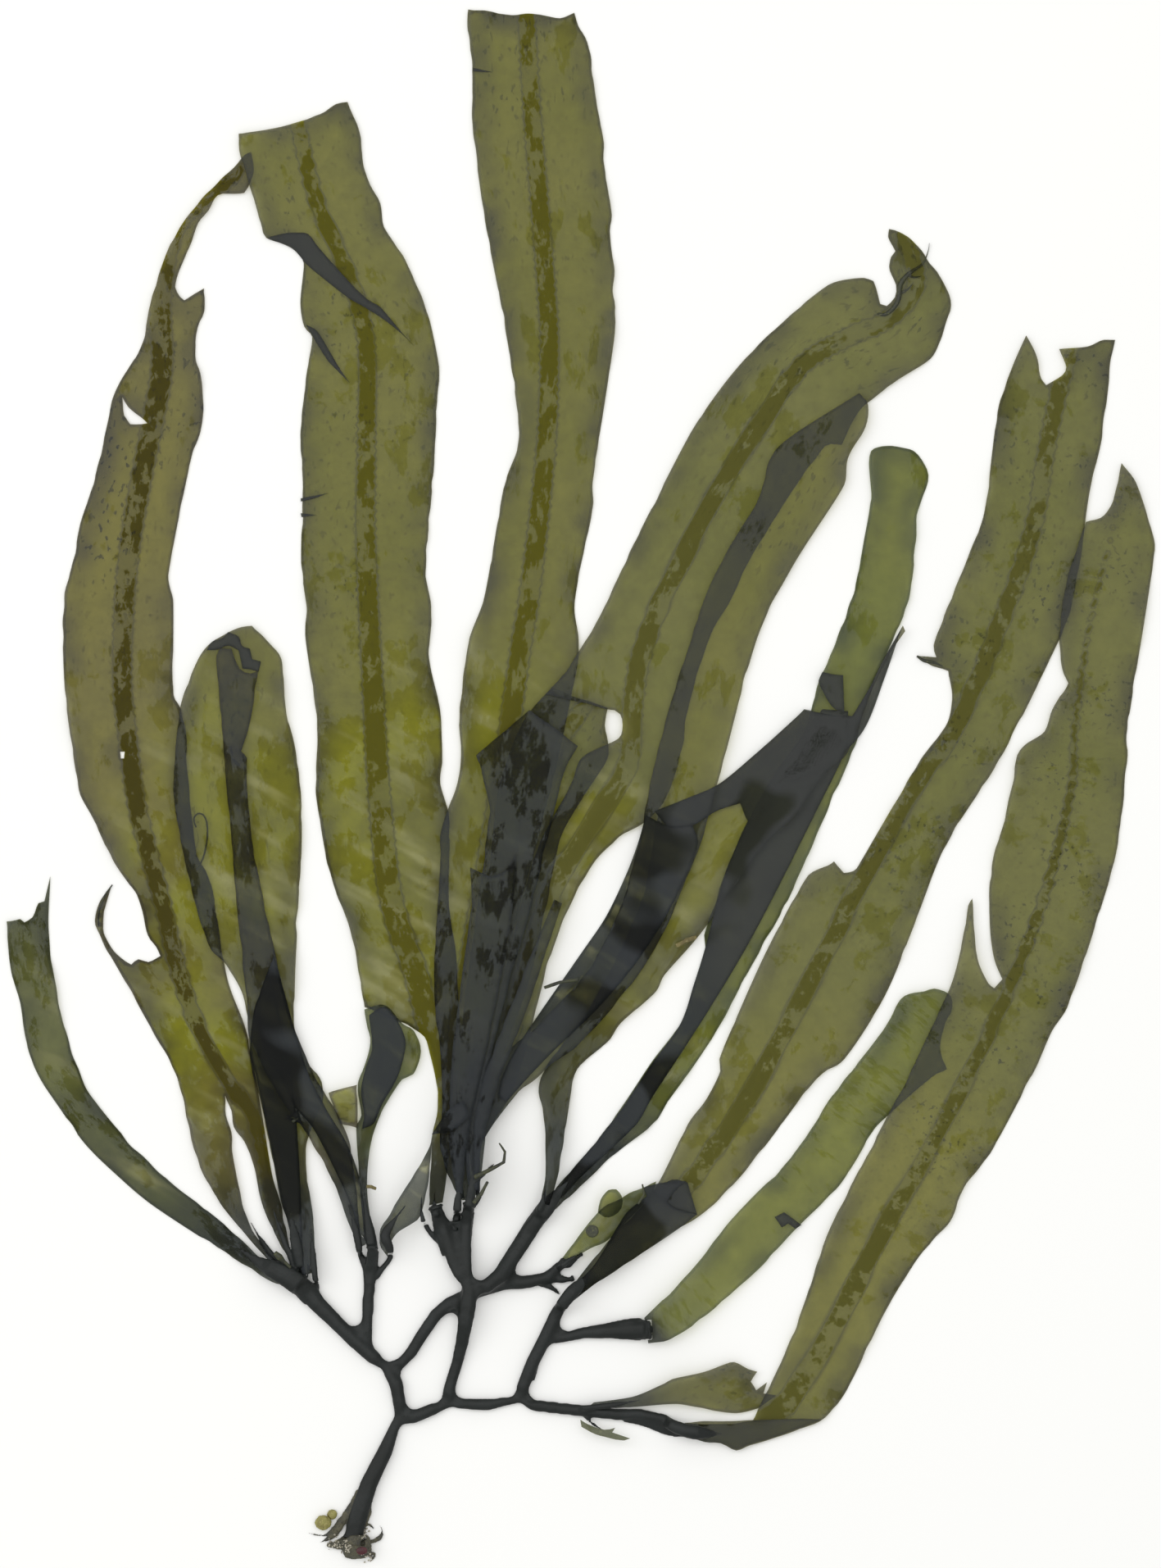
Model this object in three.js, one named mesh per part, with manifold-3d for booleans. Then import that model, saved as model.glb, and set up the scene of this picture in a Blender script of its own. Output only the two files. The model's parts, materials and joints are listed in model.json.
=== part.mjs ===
// Kelp frond, laid out flat: a holdfast, forked stipes and thin blades that lie over each other.
// Units are millimetres, +Z is up, and the surface that the frond lies on is z = 0.
// Routes and outlines are drawn with the holdfast's foot at (0, 0) and +Y running to the tips.
import * as THREE from "three";
import { mergeVertices } from "three/addons/utils/BufferGeometryUtils.js";
import Module from "manifold-3d";

const wasm = await Module();
wasm.setup();

// ---- Driving dimensions ------------------------------------------------------------------------
const BLADE_THICKNESS = 0.45;   // a wet blade
const GAP = 0.3;                // clearance between pieces that touch
const DRAPE_CELL = 10;          // spacing of the grid that blades drape over
const DRAPE_SLOPE = 0.14;       // the steepest that a blade falls off what lies under it
const STIPE_FLATNESS = 0.62;    // a stipe's thickness over its width
const STIPE_THICKNESS = 2.5;    // the thickest that a flared stipe gets
const STIPE_SIDES = 8;          // flats round a stipe
const LUMP_DETAIL = 1;          // how finely the holdfast's lumps are faceted
const STIPE_TIP = 7;            // length at a stipe's end that blades don't climb over
const TIP_WIDTH_KEPT = 0.75;    // a stipe's end narrows to this much of its width
const TIP_SINK = 0.6;           // a stipe's end lies this far below the blade that it carries

const LAYER = BLADE_THICKNESS + GAP;

const COLOURS = {
  blade: 0x70703a,
  greenBlade: 0x6e7638,
  doubled: 0x4c4a34,
  stipe: 0x2b2f2c,
  holdfast: 0x6a6355,
  nodule: 0xa5a34c,
  redWeed: 0x4a1d24,
};

// ---- Solids ------------------------------------------------------------------------------------
function toSolid(geometry) {
  const bare = geometry.clone();
  bare.deleteAttribute("normal");
  bare.deleteAttribute("uv");
  const merged = mergeVertices(bare, 1e-4);
  return new wasm.Manifold(new wasm.Mesh({
    numProp: 3,
    vertProperties: new Float32Array(merged.attributes.position.array),
    triVerts: new Uint32Array(merged.index.array),
  }));
}

function toGeometry(solid) {
  const { vertProperties, triVerts } = solid.getMesh();
  return indexedGeometry(vertProperties, [...triVerts]);
}

function indexedGeometry(positions, indices) {
  const geometry = new THREE.BufferGeometry();
  geometry.setAttribute("position", new THREE.Float32BufferAttribute(positions, 3));
  geometry.setIndex(indices);
  geometry.computeVertexNormals();
  return geometry;
}

// A cut can leave a crumb behind, so a piece keeps its largest body.
function largestBody(solid) {
  const bodies = solid.decompose();
  return bodies.reduce((best, body) => (body.volume() > best.volume() ? body : best), bodies[0]);
}

function prism(outline, holes, bottom, top) {
  const shape = new THREE.Shape(outline);
  shape.holes = holes.map((hole) => new THREE.Path(hole));
  const geometry = new THREE.ExtrudeGeometry(shape, { depth: top - bottom, bevelEnabled: false });
  return toSolid(geometry.translate(0, 0, bottom));
}

const toVectors = (points) => points.map(([x, y]) => new THREE.Vector2(x, y));

// ---- Draping -----------------------------------------------------------------------------------
// Every blade shares one square grid, split along one diagonal. A blade that is a layer above
// another at the grid's corners is then a layer above it everywhere.
function isInside(x, y, outline) {
  let inside = false;
  outline.forEach((a, index) => {
    const b = outline[(index + 1) % outline.length];
    const crosses = (a.y > y) !== (b.y > y);
    if (crosses && x < ((b.x - a.x) * (y - a.y)) / (b.y - a.y) + a.x) inside = !inside;
  });
  return inside;
}

function cellsUnder(outline) {
  const cells = new Map();
  const mark = (x, y) => {
    const cell = [Math.floor(x / DRAPE_CELL), Math.floor(y / DRAPE_CELL)];
    cells.set(cell.join(), cell);
  };
  outline.forEach((start, index) => {
    const end = outline[(index + 1) % outline.length];
    const steps = Math.max(1, Math.ceil(start.distanceTo(end) * 2));
    for (let step = 0; step <= steps; step += 1) {
      const point = start.clone().lerp(end, step / steps);
      mark(point.x, point.y);
    }
  });
  const box = new THREE.Box2().setFromPoints(outline);
  for (let x = box.min.x; x < box.max.x; x += DRAPE_CELL / 2) {
    for (let y = box.min.y; y < box.max.y; y += DRAPE_CELL / 2) {
      if (isInside(x, y, outline)) mark(x, y);
    }
  }
  return [...cells.values()];
}

// The height of the pile so far, kept at the grid's corners.
const pile = new Map();
const pileAt = (key) => pile.get(key) ?? 0;

function cornersOf(outline) {
  const corners = new Map();
  cellsUnder(outline).forEach(([i, j]) => {
    [[i, j], [i + 1, j], [i, j + 1], [i + 1, j + 1]].forEach((corner) => {
      corners.set(corner.join(), corner);
    });
  });
  return corners;
}

// Lays an outline on the pile: no lower than the pile, and no steeper than the drape's slope.
function drape(outline) {
  const corners = cornersOf(outline);
  const heights = new Map([...corners.keys()].map((key) => [key, pileAt(key)]));
  const reach = DRAPE_SLOPE * DRAPE_CELL;
  for (let settled = false; !settled;) {
    settled = true;
    corners.forEach(([i, j], key) => {
      [[1, 0], [-1, 0], [0, 1], [0, -1]].forEach(([di, dj]) => {
        const neighbour = heights.get([i + di, j + dj].join()) ?? 0;
        if (heights.get(key) < neighbour - reach - 1e-6) {
          heights.set(key, neighbour - reach);
          settled = false;
        }
      });
    });
  }
  heights.forEach((height, key) => pile.set(key, height + LAYER));
  return heights;
}

// The height at a point, on the triangle of the grid that the point is in.
function heightAt(heights, [x, y]) {
  const i = Math.floor(x / DRAPE_CELL);
  const j = Math.floor(y / DRAPE_CELL);
  const u = x / DRAPE_CELL - i;
  const v = y / DRAPE_CELL - j;
  const corner = (di, dj) => heights.get([i + di, j + dj].join()) ?? 0;
  const far = corner(1, 1);
  if (u >= v) return corner(0, 0) * (1 - u) + corner(1, 0) * (u - v) + far * v;
  return corner(0, 0) * (1 - v) + corner(0, 1) * (v - u) + far * u;
}

// A sheet over the outline's box, one blade thick, that follows the draped heights.
function drapedSheet(outline, heights) {
  const box = new THREE.Box2().setFromPoints(outline);
  const firstColumn = Math.floor(box.min.x / DRAPE_CELL) - 1;
  const firstRow = Math.floor(box.min.y / DRAPE_CELL) - 1;
  const columns = Math.ceil(box.max.x / DRAPE_CELL) - firstColumn + 2;
  const rows = Math.ceil(box.max.y / DRAPE_CELL) - firstRow + 2;
  const positions = [];
  for (const lift of [0, BLADE_THICKNESS]) {
    for (let row = 0; row < rows; row += 1) {
      for (let column = 0; column < columns; column += 1) {
        const i = firstColumn + column;
        const j = firstRow + row;
        positions.push(i * DRAPE_CELL, j * DRAPE_CELL, (heights.get([i, j].join()) ?? 0) + lift);
      }
    }
  }
  const top = rows * columns;
  const at = (column, row) => row * columns + column;
  const indices = [];
  for (let row = 0; row < rows - 1; row += 1) {
    for (let column = 0; column < columns - 1; column += 1) {
      const [a, b] = [at(column, row), at(column + 1, row)];
      const [c, d] = [at(column + 1, row + 1), at(column, row + 1)];
      indices.push(top + a, top + b, top + c, top + a, top + c, top + d);
      indices.push(a, c, b, a, d, c);
    }
  }
  const rim = [];
  for (let column = 0; column < columns - 1; column += 1) rim.push(at(column, 0));
  for (let row = 0; row < rows - 1; row += 1) rim.push(at(columns - 1, row));
  for (let column = columns - 1; column > 0; column -= 1) rim.push(at(column, rows - 1));
  for (let row = rows - 1; row > 0; row -= 1) rim.push(at(0, row));
  rim.forEach((here, index) => {
    const next = rim[(index + 1) % rim.length];
    indices.push(here, next, top + next, here, top + next, top + here);
  });
  return toSolid(indexedGeometry(positions, indices));
}

function blade(outlinePoints, holePoints = []) {
  const outline = toVectors(outlinePoints);
  const heights = drape(outline);
  const highest = Math.max(...heights.values()) + BLADE_THICKNESS;
  const cutter = prism(outline, holePoints.map(toVectors), -1, highest + 1);
  return { heights, solid: drapedSheet(outline, heights).intersect(cutter) };
}

// ---- Stipes ------------------------------------------------------------------------------------
const stipeThickness = (width) => Math.min(width * STIPE_FLATNESS, STIPE_THICKNESS);

// A route is a list of [x, y, width, lift]; the lift is how far its underside is off the surface.
function stipeSolid(route, extra = 0) {
  const curve = new THREE.CatmullRomCurve3(
    route.map(([x, y, , lift = 0]) => new THREE.Vector3(x, y, lift)), false, "centripetal");
  const rings = route.length - 1;
  const flat = Math.cos(Math.PI / STIPE_SIDES);
  const positions = [];
  for (let ring = 0; ring <= rings; ring += 1) {
    const width = route[ring][2];
    const centre = curve.getPoint(ring / rings);
    const along = curve.getTangent(ring / rings).setZ(0).normalize();
    const side = new THREE.Vector3(along.y, -along.x, 0);
    const thickness = stipeThickness(width);
    centre.z += (thickness / 2) * flat;
    if (ring === 0) centre.addScaledVector(along, -extra);
    if (ring === rings) centre.addScaledVector(along, extra);
    for (let k = 0; k < STIPE_SIDES; k += 1) {
      const angle = ((k + 0.5) / STIPE_SIDES) * Math.PI * 2;
      const point = centre.clone().addScaledVector(side, Math.cos(angle) * (width / 2 + extra));
      point.z += Math.sin(angle) * (thickness / 2 + extra);
      positions.push(...point.toArray());
    }
  }
  return toSolid(indexedGeometry(positions, tubeIndices(rings, STIPE_SIDES)));
}

// Faces of a closed tube made of rings, with a flat fan over each end.
function tubeIndices(rings, sides) {
  const indices = [];
  for (let ring = 0; ring < rings; ring += 1) {
    for (let k = 0; k < sides; k += 1) {
      const a = ring * sides + k;
      const b = ring * sides + ((k + 1) % sides);
      indices.push(a, b + sides, b, a, a + sides, b + sides);
    }
  }
  const last = rings * sides;
  for (let k = 1; k < sides - 1; k += 1) {
    indices.push(0, k, k + 1);
    indices.push(last, last + k + 1, last + k);
  }
  return indices;
}

// ---- Routes of the stipes and haptera ----------------------------------------------------------
// Each is [x, y, width, lift]. A stipe that carries a blade rises to that blade's base.
const STIPES = [
  { name: "stipe_main",
    route: [[0.2, 6, 5.4], [1, 10, 5], [4.2, 20, 4.6], [8.2, 28, 4], [11.6, 36.6, 3.6]] },
  { name: "stipe_left_lower",
    route: [[11.8, 36, 2.4], [11.8, 40, 3.4], [11, 45, 3.8], [8.4, 49, 3.8]] },
  { name: "stipe_right_lower",
    route: [[12, 35.8, 2.6], [15, 36.5, 3.4], [20.2, 38.6, 3.2], [24, 39.9, 3]] },
  { name: "stipe_left_upper", carries: "blade_far_left",
    route: [[8.4, 48.6, 2.6], [5.5, 51.4, 3.8], [0.9, 55.4, 3.8], [-4.3, 60.6, 4],
      [-8.4, 64.6, 4.4], [-11, 67.8, 5.4], [-13.5, 70.6, 6.4]] },
  { name: "stipe_inner", carries: "blade_left_narrow",
    route: [[4.4, 54.5, 2], [3.6, 58, 3], [4, 66, 3], [4.7, 73, 3], [5.2, 79.5, 4.4]] },
  { name: "stipe_long",
    route: [[8.8, 49.2, 2.2], [12, 49.9, 3], [14.6, 52.5, 3.1], [17.6, 57.4, 3.2],
      [20.8, 62, 3.3], [24.2, 65, 3.4], [30, 67.6, 3.5],
      [38, 70, 3.5], [44, 70.4, 3.5], [49, 71.6, 3.2], [53, 76, 2.4]] },
  { name: "stipe_long_twig_right",
    route: [[50.6, 73, 1.4], [54, 74.6, 2], [57.5, 77.5, 1.8]] },
  { name: "stipe_long_twig_low",
    route: [[48.4, 71.4, 1.4], [52, 70.9, 2], [55.5, 71, 2]] },
  { name: "stipe_middle",
    route: [[23.2, 39.7, 2.4], [24, 42.4, 3.2], [24.9, 46, 3], [26.2, 50, 3],
      [27.4, 55, 3.4, 0.9], [28.3, 60, 3.9, 2.5], [29.1, 65, 4.3, 2.7], [29.4, 69.4, 4.6, 2.7]] },
  { name: "stipe_middle_left", carries: "blade_centre_left",
    route: [[28.6, 69.4, 2.4, 2.7], [26.8, 72.4, 3, 2.6], [25.3, 75.5, 3.2, 1.6],
      [23.8, 80.5, 3.4, 0.4], [22.2, 85, 4], [20.8, 89.5, 5]] },
  { name: "stipe_middle_centre", carries: "blade_tallest",
    route: [[29.2, 69.8, 2.4, 2.7], [28.6, 74, 3, 2.5], [28.3, 80, 3, 1.2], [28.6, 85, 3, 0.6],
      [29, 90.5, 4, 0.6]] },
  { name: "stipe_middle_right", carries: "blade_green_tall",
    route: [[29.8, 68.8, 2.6, 2.7], [33.4, 69.4, 3.8, 2.7], [37, 72.2, 4.1, 2.5],
      [40, 76.6, 4.3, 1], [43.8, 82.4, 4.5], [49, 89.8, 4.6]] },
  { name: "stipe_right_middle",
    route: [[24, 40, 2.2], [29, 39.9, 3], [34, 39.7, 3], [41.6, 41, 3.2]] },
  { name: "stipe_upright", carries: "blade_right_large",
    route: [[41.6, 41, 2.2], [42.6, 44, 3.3], [45, 50, 3.5], [48, 56, 3.5], [51, 62.4, 3.4],
      [53.2, 66.2, 3.2]] },
  { name: "stipe_green_short", carries: "blade_green_short",
    route: [[48.6, 55.2, 1.6], [52, 56.2, 2.4], [57.5, 57.6, 3], [64, 58.2, 4.2], [70, 58.4, 5.2],
      [74.6, 58.6, 6.4]] },
  { name: "stipe_right_upper", carries: "blade_rightmost",
    route: [[41.8, 40.6, 2], [45, 39.6, 3], [50, 39, 3], [58, 38.1, 3], [66, 37.3, 3],
      [72, 37.3, 2.8], [78, 36, 2.8], [82.5, 33.8, 3.2]] },
  { name: "stipe_right_strand",
    route: [[69.6, 36.9, 1.2], [74, 34.9, 1.5], [78, 33.2, 1.5], [81.2, 32.2, 1.4]] },
];

const HAPTERA = [
  { name: "hapteron_left", route: [[-11.3, 7.6, 0.8], [-8, 7, 1.2], [-4.5, 9.2, 1.4], [-1.4, 11.4, 1.6]] },
  { name: "hapteron_right", route: [[3.8, 4.4, 1.8], [6.2, 5.6, 1.5], [7.7, 7.6, 1.2], [7, 9.4, 0.9]] },
  { name: "hapteron_hook", route: [[2.8, 9.9, 1], [4.6, 9.4, 0.9], [5.7, 8.3, 0.7]] },
];

// Rounded lumps: centre [x, y, z] and half-sizes [x, y, z].
const HOLDFAST_LUMPS = [
  { centre: [1.4, 4.6, 1.4], half: [4.8, 4.4, 2.6] },
  { centre: [-4.4, 4.7, 1], half: [4.4, 2.1, 1.6] },
  { centre: [4.2, 2.4, 0.9], half: [2.4, 1.6, 1.5] },
  { centre: [-1.2, 2.6, 1], half: [2.2, 2.2, 1.7] },
];
const NODULES = [
  { name: "nodule_large", centre: [-7.2, 10.2, 0.9], half: [2.1, 1.9, 1.3] },
  { name: "nodule_small", centre: [-5, 12.3, 0.6], half: [1.3, 1.3, 0.9] },
];
const RED_SCRAP = { name: "red_weed_scrap", centre: [2.5, 3.6, 4.75], half: [1.5, 1.1, 0.4] };

// ---- Outlines of the blades ----------------------------------------------------------------------
// Listed from the bottom of the pile to the top. Each outline runs up its left edge, along its tip
// and down its right edge.
const BLADES = [
  { name: "blade_far_left",
    outline: [
      [-13.6, 69], [-20, 70.5], [-30, 76.5], [-40, 83], [-50, 89.5], [-60, 98], [-67, 105],
      [-73, 113.5], [-78, 121], [-81, 128], [-83, 138.5], [-85.5, 149], [-86.5, 160.5],
      [-83, 161.2], [-82, 160.2], [-80, 161.5], [-78.5, 165], [-77, 165.5], [-75.5, 171.8],
      [-75.8, 166], [-76, 160], [-75.3, 153], [-73, 139], [-71, 131], [-69, 125], [-66.5, 119],
      [-62, 112.5], [-56, 105.5], [-50, 99.5], [-44, 94], [-38, 89.5], [-30, 83], [-24, 77.5],
      [-17.8, 71.6], [-15.4, 70.8]] },
  { name: "blade_left_long",
    outline: [
      [-15.2, 71], [-17.5, 72], [-24, 79.5], [-29, 85], [-34, 91.5], [-38, 99], [-40.5, 107],
      [-42, 114], [-44, 121.5], [-47, 127], [-53.5, 139.5], [-60, 151], [-62.5, 155],
      [-64.3, 159.5], [-64, 163], [-62.8, 166], [-60.2, 169.4], [-62, 163], [-62.2, 158.6],
      [-61, 155.5], [-59.5, 153], [-57, 150.7], [-55.3, 149.7], [-53.5, 151],
      [-51, 150.3], [-48, 151.8], [-49, 154], [-51.2, 157], [-52.5, 163], [-54, 167],
      [-57, 171.5], [-60, 176], [-65, 186.5], [-68, 192], [-69, 197], [-70.2, 205],
      [-72, 220], [-72.3, 240], [-70, 250], [-68, 260], [-66, 266], [-64.5, 271],
      [-61, 286], [-60, 291], [-58, 295.5], [-55.5, 299.5], [-52.5, 305], [-50, 317],
      [-46, 328.5], [-43, 334], [-39, 339.5], [-34, 345], [-29.5, 349], [-27, 352],
      [-25.3, 352.8], [-24.5, 347.5],
      [-26, 344], [-27, 342.5], [-33.5, 341.7], [-36, 338], [-38.5, 335], [-40.3, 330],
      [-43.5, 322.5], [-44.2, 319], [-43, 316.5], [-42, 315.7], [-39.5, 317.3], [-37, 319],
      [-37, 313], [-38.5, 309], [-39.2, 303], [-38, 297.5], [-37.2, 292], [-37.7, 283],
      [-40, 277.5], [-43, 263], [-46, 247], [-44.8, 241], [-44.7, 217], [-43, 213.8],
      [-41.5, 207], [-41.3, 200], [-39, 178], [-36, 172], [-34.5, 166], [-33, 157],
      [-31.2, 146], [-26.5, 133], [-23, 115], [-20, 97], [-17.5, 89], [-15.5, 79], [-12.9, 72.6],
      [-15, 73.4], [-16.5, 77], [-18.5, 81], [-21, 86], [-23, 91.5], [-24.5, 99], [-27, 105.5],
      [-29.8, 109], [-30.5, 113], [-31.8, 117], [-31.3, 112], [-30, 107.6], [-29.8, 103],
      [-28.5, 95], [-26, 86], [-22, 79], [-18.6, 75.4], [-16.6, 72.6]],
    holes: [
      [[-57.9, 201.2], [-57.1, 201.2], [-57.1, 202.8], [-57.9, 202.8]],
      [[-57.5, 291.5], [-57, 287], [-55.5, 284.8], [-51.3, 285], [-53, 286.5], [-56, 289]]] },
  { name: "blade_centre_left",
    outline: [
      [19.2, 89.6], [19.4, 95], [20, 107], [21.3, 113], [21, 120], [19.5, 127], [18, 131.5],
      [14.5, 134], [3, 139], [1, 151], [-1, 160], [-4, 167], [-6.3, 175], [-8.2, 186],
      [-9.3, 195], [-8.7, 206], [-9.5, 216], [-11.8, 232], [-11.5, 239], [-12.8, 250],
      [-12.4, 270], [-13, 282], [-11.5, 297], [-10, 306.5], [-12, 309], [-13, 315],
      [-12.3, 325], [-15, 328.8], [-21.5, 331.3], [-22.7, 334], [-24, 339], [-28, 352],
      [-28.7, 357.5], [-18, 359], [-8, 362.3], [-4, 364.8], [-1.2, 365.3],
      [0.5, 362], [2.2, 356], [2.7, 350], [4.5, 344.5], [7, 340], [8, 334], [13.5, 325.5],
      [18, 315], [20, 308], [21.8, 298], [21.3, 292], [20.5, 275], [19, 255], [18.4, 248],
      [19.9, 238], [19.3, 226], [22, 213], [22.5, 200], [22, 195], [24.3, 186], [24.2, 165],
      [26, 152], [26.5, 143], [27, 125], [25, 108], [23.4, 95], [22.6, 90]] },
  { name: "blade_green_tall", colour: "greenBlade",
    outline: [
      [48, 89], [51, 94], [61, 105.5], [68, 115], [75, 125.5], [82, 135], [85.5, 145],
      [88.3, 154], [88, 157], [93, 172], [98, 184], [106, 198], [113, 208], [116.5, 220],
      [120.5, 229.5], [125.5, 243.5], [128, 256], [129.6, 266], [129.2, 275],
      [129.7, 278], [131.5, 279], [135, 279.5], [140.5, 278], [143.7, 273.5],
      [144, 270.5], [141.3, 262], [141, 255.5], [140, 246], [138.5, 238.5], [131.5, 222.5],
      [127.5, 212], [126, 205], [118.5, 187], [114.5, 178], [110, 168], [104.5, 157.5],
      [98, 146], [92, 134.5], [85.5, 124.5], [79, 115.5], [75.5, 110], [66, 102.5],
      [60, 97], [53, 90.4], [50.6, 88.4]] },
  { name: "leaf_young", colour: "greenBlade",
    outline: [
      [52.4, 76.4], [57, 82.5], [62, 88.5], [68, 92], [76, 95.5], [75, 92.4], [71, 88],
      [66, 83], [64, 81], [58.6, 78.4], [54, 75.6]] },
  { name: "blade_right_large",
    outline: [
      [52.6, 66.4], [60, 76], [66, 83], [73, 90], [77, 96], [84, 110], [88.5, 116], [92, 123],
      [91.8, 126], [95, 134], [104, 154], [114, 172], [119, 174.5], [120.5, 175.7],
      [123, 172.8], [126, 173.8], [130, 180.5], [141.5, 200], [148, 209], [150, 216],
      [149, 223], [145, 224.3], [141.3, 226.8], [146, 226.5], [145.3, 229.5], [148, 237],
      [154.5, 253], [158, 262.5], [160, 277], [161.5, 288.5], [165, 299], [168.5, 307],
      [171, 302], [172.5, 296], [173.5, 294.5], [177.5, 297], [178.5, 299], [176.7, 303.5],
      [184, 304.2], [188, 306], [191, 306],
      [190, 302], [187.5, 281.5], [184.3, 267.5], [182, 250], [180, 239], [176.7, 230.7],
      [170, 217], [162.5, 202], [157, 193.5], [151, 184], [146, 174], [139.5, 157],
      [133, 141.5], [127.5, 133], [123, 126], [116, 121], [108.5, 111], [99.5, 99.5],
      [88, 87.5], [80, 83], [70, 76], [60, 69.5], [54, 64.8]] },
  { name: "blade_green_short", colour: "greenBlade",
    outline: [
      [73, 61.6], [80, 68.5], [87, 76], [93, 84], [100, 91.5], [108, 99.5], [114, 107.5],
      [120, 117], [131, 131], [135, 137.5], [138, 142], [143, 143], [145.5, 143.7],
      [149, 142.5], [150, 140.5],
      [149.8, 137.5], [148.3, 135], [147, 129], [148.7, 123.5], [145, 121.5], [139.5, 117],
      [134, 112], [130.5, 108.5], [125.5, 100], [121, 93.5], [110.5, 83.2], [101, 73],
      [87, 61], [79, 56], [74, 55.2]] },
  { name: "blade_paddle",
    outline: [
      [59.4, 39.6], [60.4, 40.4], [70, 41.8], [77, 44.7], [80, 46.3], [88, 48], [93.5, 50],
      [95.5, 50.4], [99, 48.8],
      [101.3, 48], [99.7, 45.5], [101, 43.3], [103.7, 45.3], [102.8, 42.5], [106, 42],
      [103, 39.8], [101.5, 38.8], [96, 37.6], [88, 38.7], [81, 40], [73, 39.4], [66, 39]] },
  { name: "scrap_low", colour: "doubled",
    outline: [
      [57, 36.2], [59, 35], [63, 33.7], [65.8, 34.2], [65, 33], [69.5, 31.5], [68, 31],
      [62, 32], [57.3, 34.4]] },
  { name: "blade_left_round",
    outline: [
      [-12.4, 72], [-13.6, 78], [-17.4, 89], [-19.2, 97], [-20.8, 105], [-22, 111], [-23, 116],
      [-25.2, 124], [-26, 133], [-27.3, 142], [-31.5, 149.5], [-35, 153], [-38, 160],
      [-41.3, 173], [-44, 187], [-44.7, 195], [-43, 213.8], [-39, 225], [-36, 229.5],
      [-30, 233.5], [-25, 234.5],
      [-21, 230.3], [-17.7, 226], [-16.5, 213], [-14.5, 205], [-13, 195], [-12.6, 180],
      [-13.7, 160], [-14.3, 135], [-11.5, 126.5], [-7, 118], [-11, 106], [-11.5, 99],
      [-9.5, 85], [-9, 73]] },
  { name: "blade_tallest",
    outline: [
      [27.6, 90.6], [24.4, 96], [22, 104], [22.5, 115], [22, 128], [20.8, 137], [20.5, 150],
      [22, 175], [22.2, 183], [26.5, 196], [27.2, 203], [26.7, 212], [29, 230], [33, 241.5],
      [36.3, 259], [38, 269.5], [41.3, 279], [41.3, 287.5], [38, 310], [33.8, 332],
      [32, 343.5], [30, 360], [30, 373], [28.8, 384],
      [28.9, 388.5], [33, 388.2], [40, 387], [44.5, 387.5], [52, 386.3], [55.5, 387.6],
      [56.5, 384.5], [59.3, 379], [60.8, 367], [63.1, 354], [62.8, 351], [64.9, 337],
      [64.4, 333], [65.6, 323], [65.1, 318], [65.8, 314], [65.5, 306], [63.3, 290],
      [60.1, 270], [60.2, 264], [57, 248], [55.6, 240], [56.8, 228.8], [54.8, 217],
      [52.5, 206], [50, 195], [42, 165], [33, 130], [29.6, 108], [29.8, 91]] },
  { name: "blade_wide_hidden",
    outline: [
      [46.8, 90], [48.3, 97], [48, 110], [47, 121.5], [60, 140], [72, 165], [76.5, 188],
      [91.5, 194.7], [101, 202.5], [111, 211.5], [113, 213.5], [120, 212], [125, 211.8],
      [129.4, 219], [132.6, 225.5], [137.6, 234.4],
      [138.2, 233], [133.5, 226], [130, 218.5], [126.6, 209.5], [124, 203], [118, 197], [110, 186], [103.5, 180],
      [95, 168.5], [87, 157.3], [78, 147], [76, 143], [70, 137.5], [66, 133.5], [64, 130],
      [57, 124.5], [55.3, 121], [53.5, 110], [51.5, 97], [49.4, 89.6]] },
  { name: "blade_rightmost",
    outline: [
      [82, 35.2], [94, 35], [100, 35.7], [107, 50], [113, 65], [119.5, 84], [124, 92.5],
      [131.5, 107.5], [138, 120], [149, 143], [151, 149], [152.5, 156], [154, 164.5],
      [155, 166.2], [155.6, 161], [156.3, 151], [159, 145], [160.5, 143.8], [162.5, 146],
      [160.5, 151], [159.5, 158], [159.3, 169], [160.5, 177.5], [163, 185.5], [166.2, 202],
      [168, 204.5], [173, 208], [175, 213.5], [179, 220], [177.5, 223.5], [176.7, 231.5],
      [178.5, 245], [183.3, 260.4], [188, 262], [190.5, 267], [192.3, 275],
      [196, 270], [200.5, 256], [200.6, 252], [197.8, 233], [193.6, 207], [193.9, 202],
      [191.3, 179], [186, 160], [178.8, 139], [174.5, 132], [171, 124], [159, 101.5],
      [153, 94], [149.5, 85.5], [142, 77], [137.5, 70], [132.5, 61.5], [123.5, 43],
      [118, 36.2], [113, 34], [106, 31.5], [98.5, 29.2], [96, 28.3], [92, 30], [88, 30.3],
      [83.4, 31.8]] },
  { name: "blade_curled",
    outline: [
      [3, 81], [2.2, 93], [1, 109], [2.3, 112], [1.4, 119.7], [4.2, 129], [3, 138.5],
      [7, 139.8], [9, 139.3], [12.5, 135], [15.5, 133.3], [17.2, 128], [15.3, 122.3],
      [12.5, 121], [8, 114], [5.5, 108], [4.2, 102], [3.8, 93], [5.4, 81.4]] },
  { name: "blade_left_narrow",
    outline: [
      [2.2, 79.2], [0, 83], [-5, 96], [-11, 106.5], [-18, 116.5], [-23, 126], [-25.5, 131],
      [-26.2, 140], [-28, 155], [-29.5, 175], [-31, 195], [-34, 226], [-33, 229],
      [-30, 228.8], [-28, 223.5], [-25.3, 222.5], [-23.5, 223], [-24.5, 216], [-26, 208],
      [-27.8, 203], [-26.3, 201.3], [-26.3, 195], [-24.8, 180], [-21.5, 163], [-18, 149],
      [-15.3, 137], [-9.5, 122], [-4.5, 114], [-0.5, 105], [1.2, 93], [2.2, 83], [4.6, 80.2]] },
  { name: "blade_bowed_leg",
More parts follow.
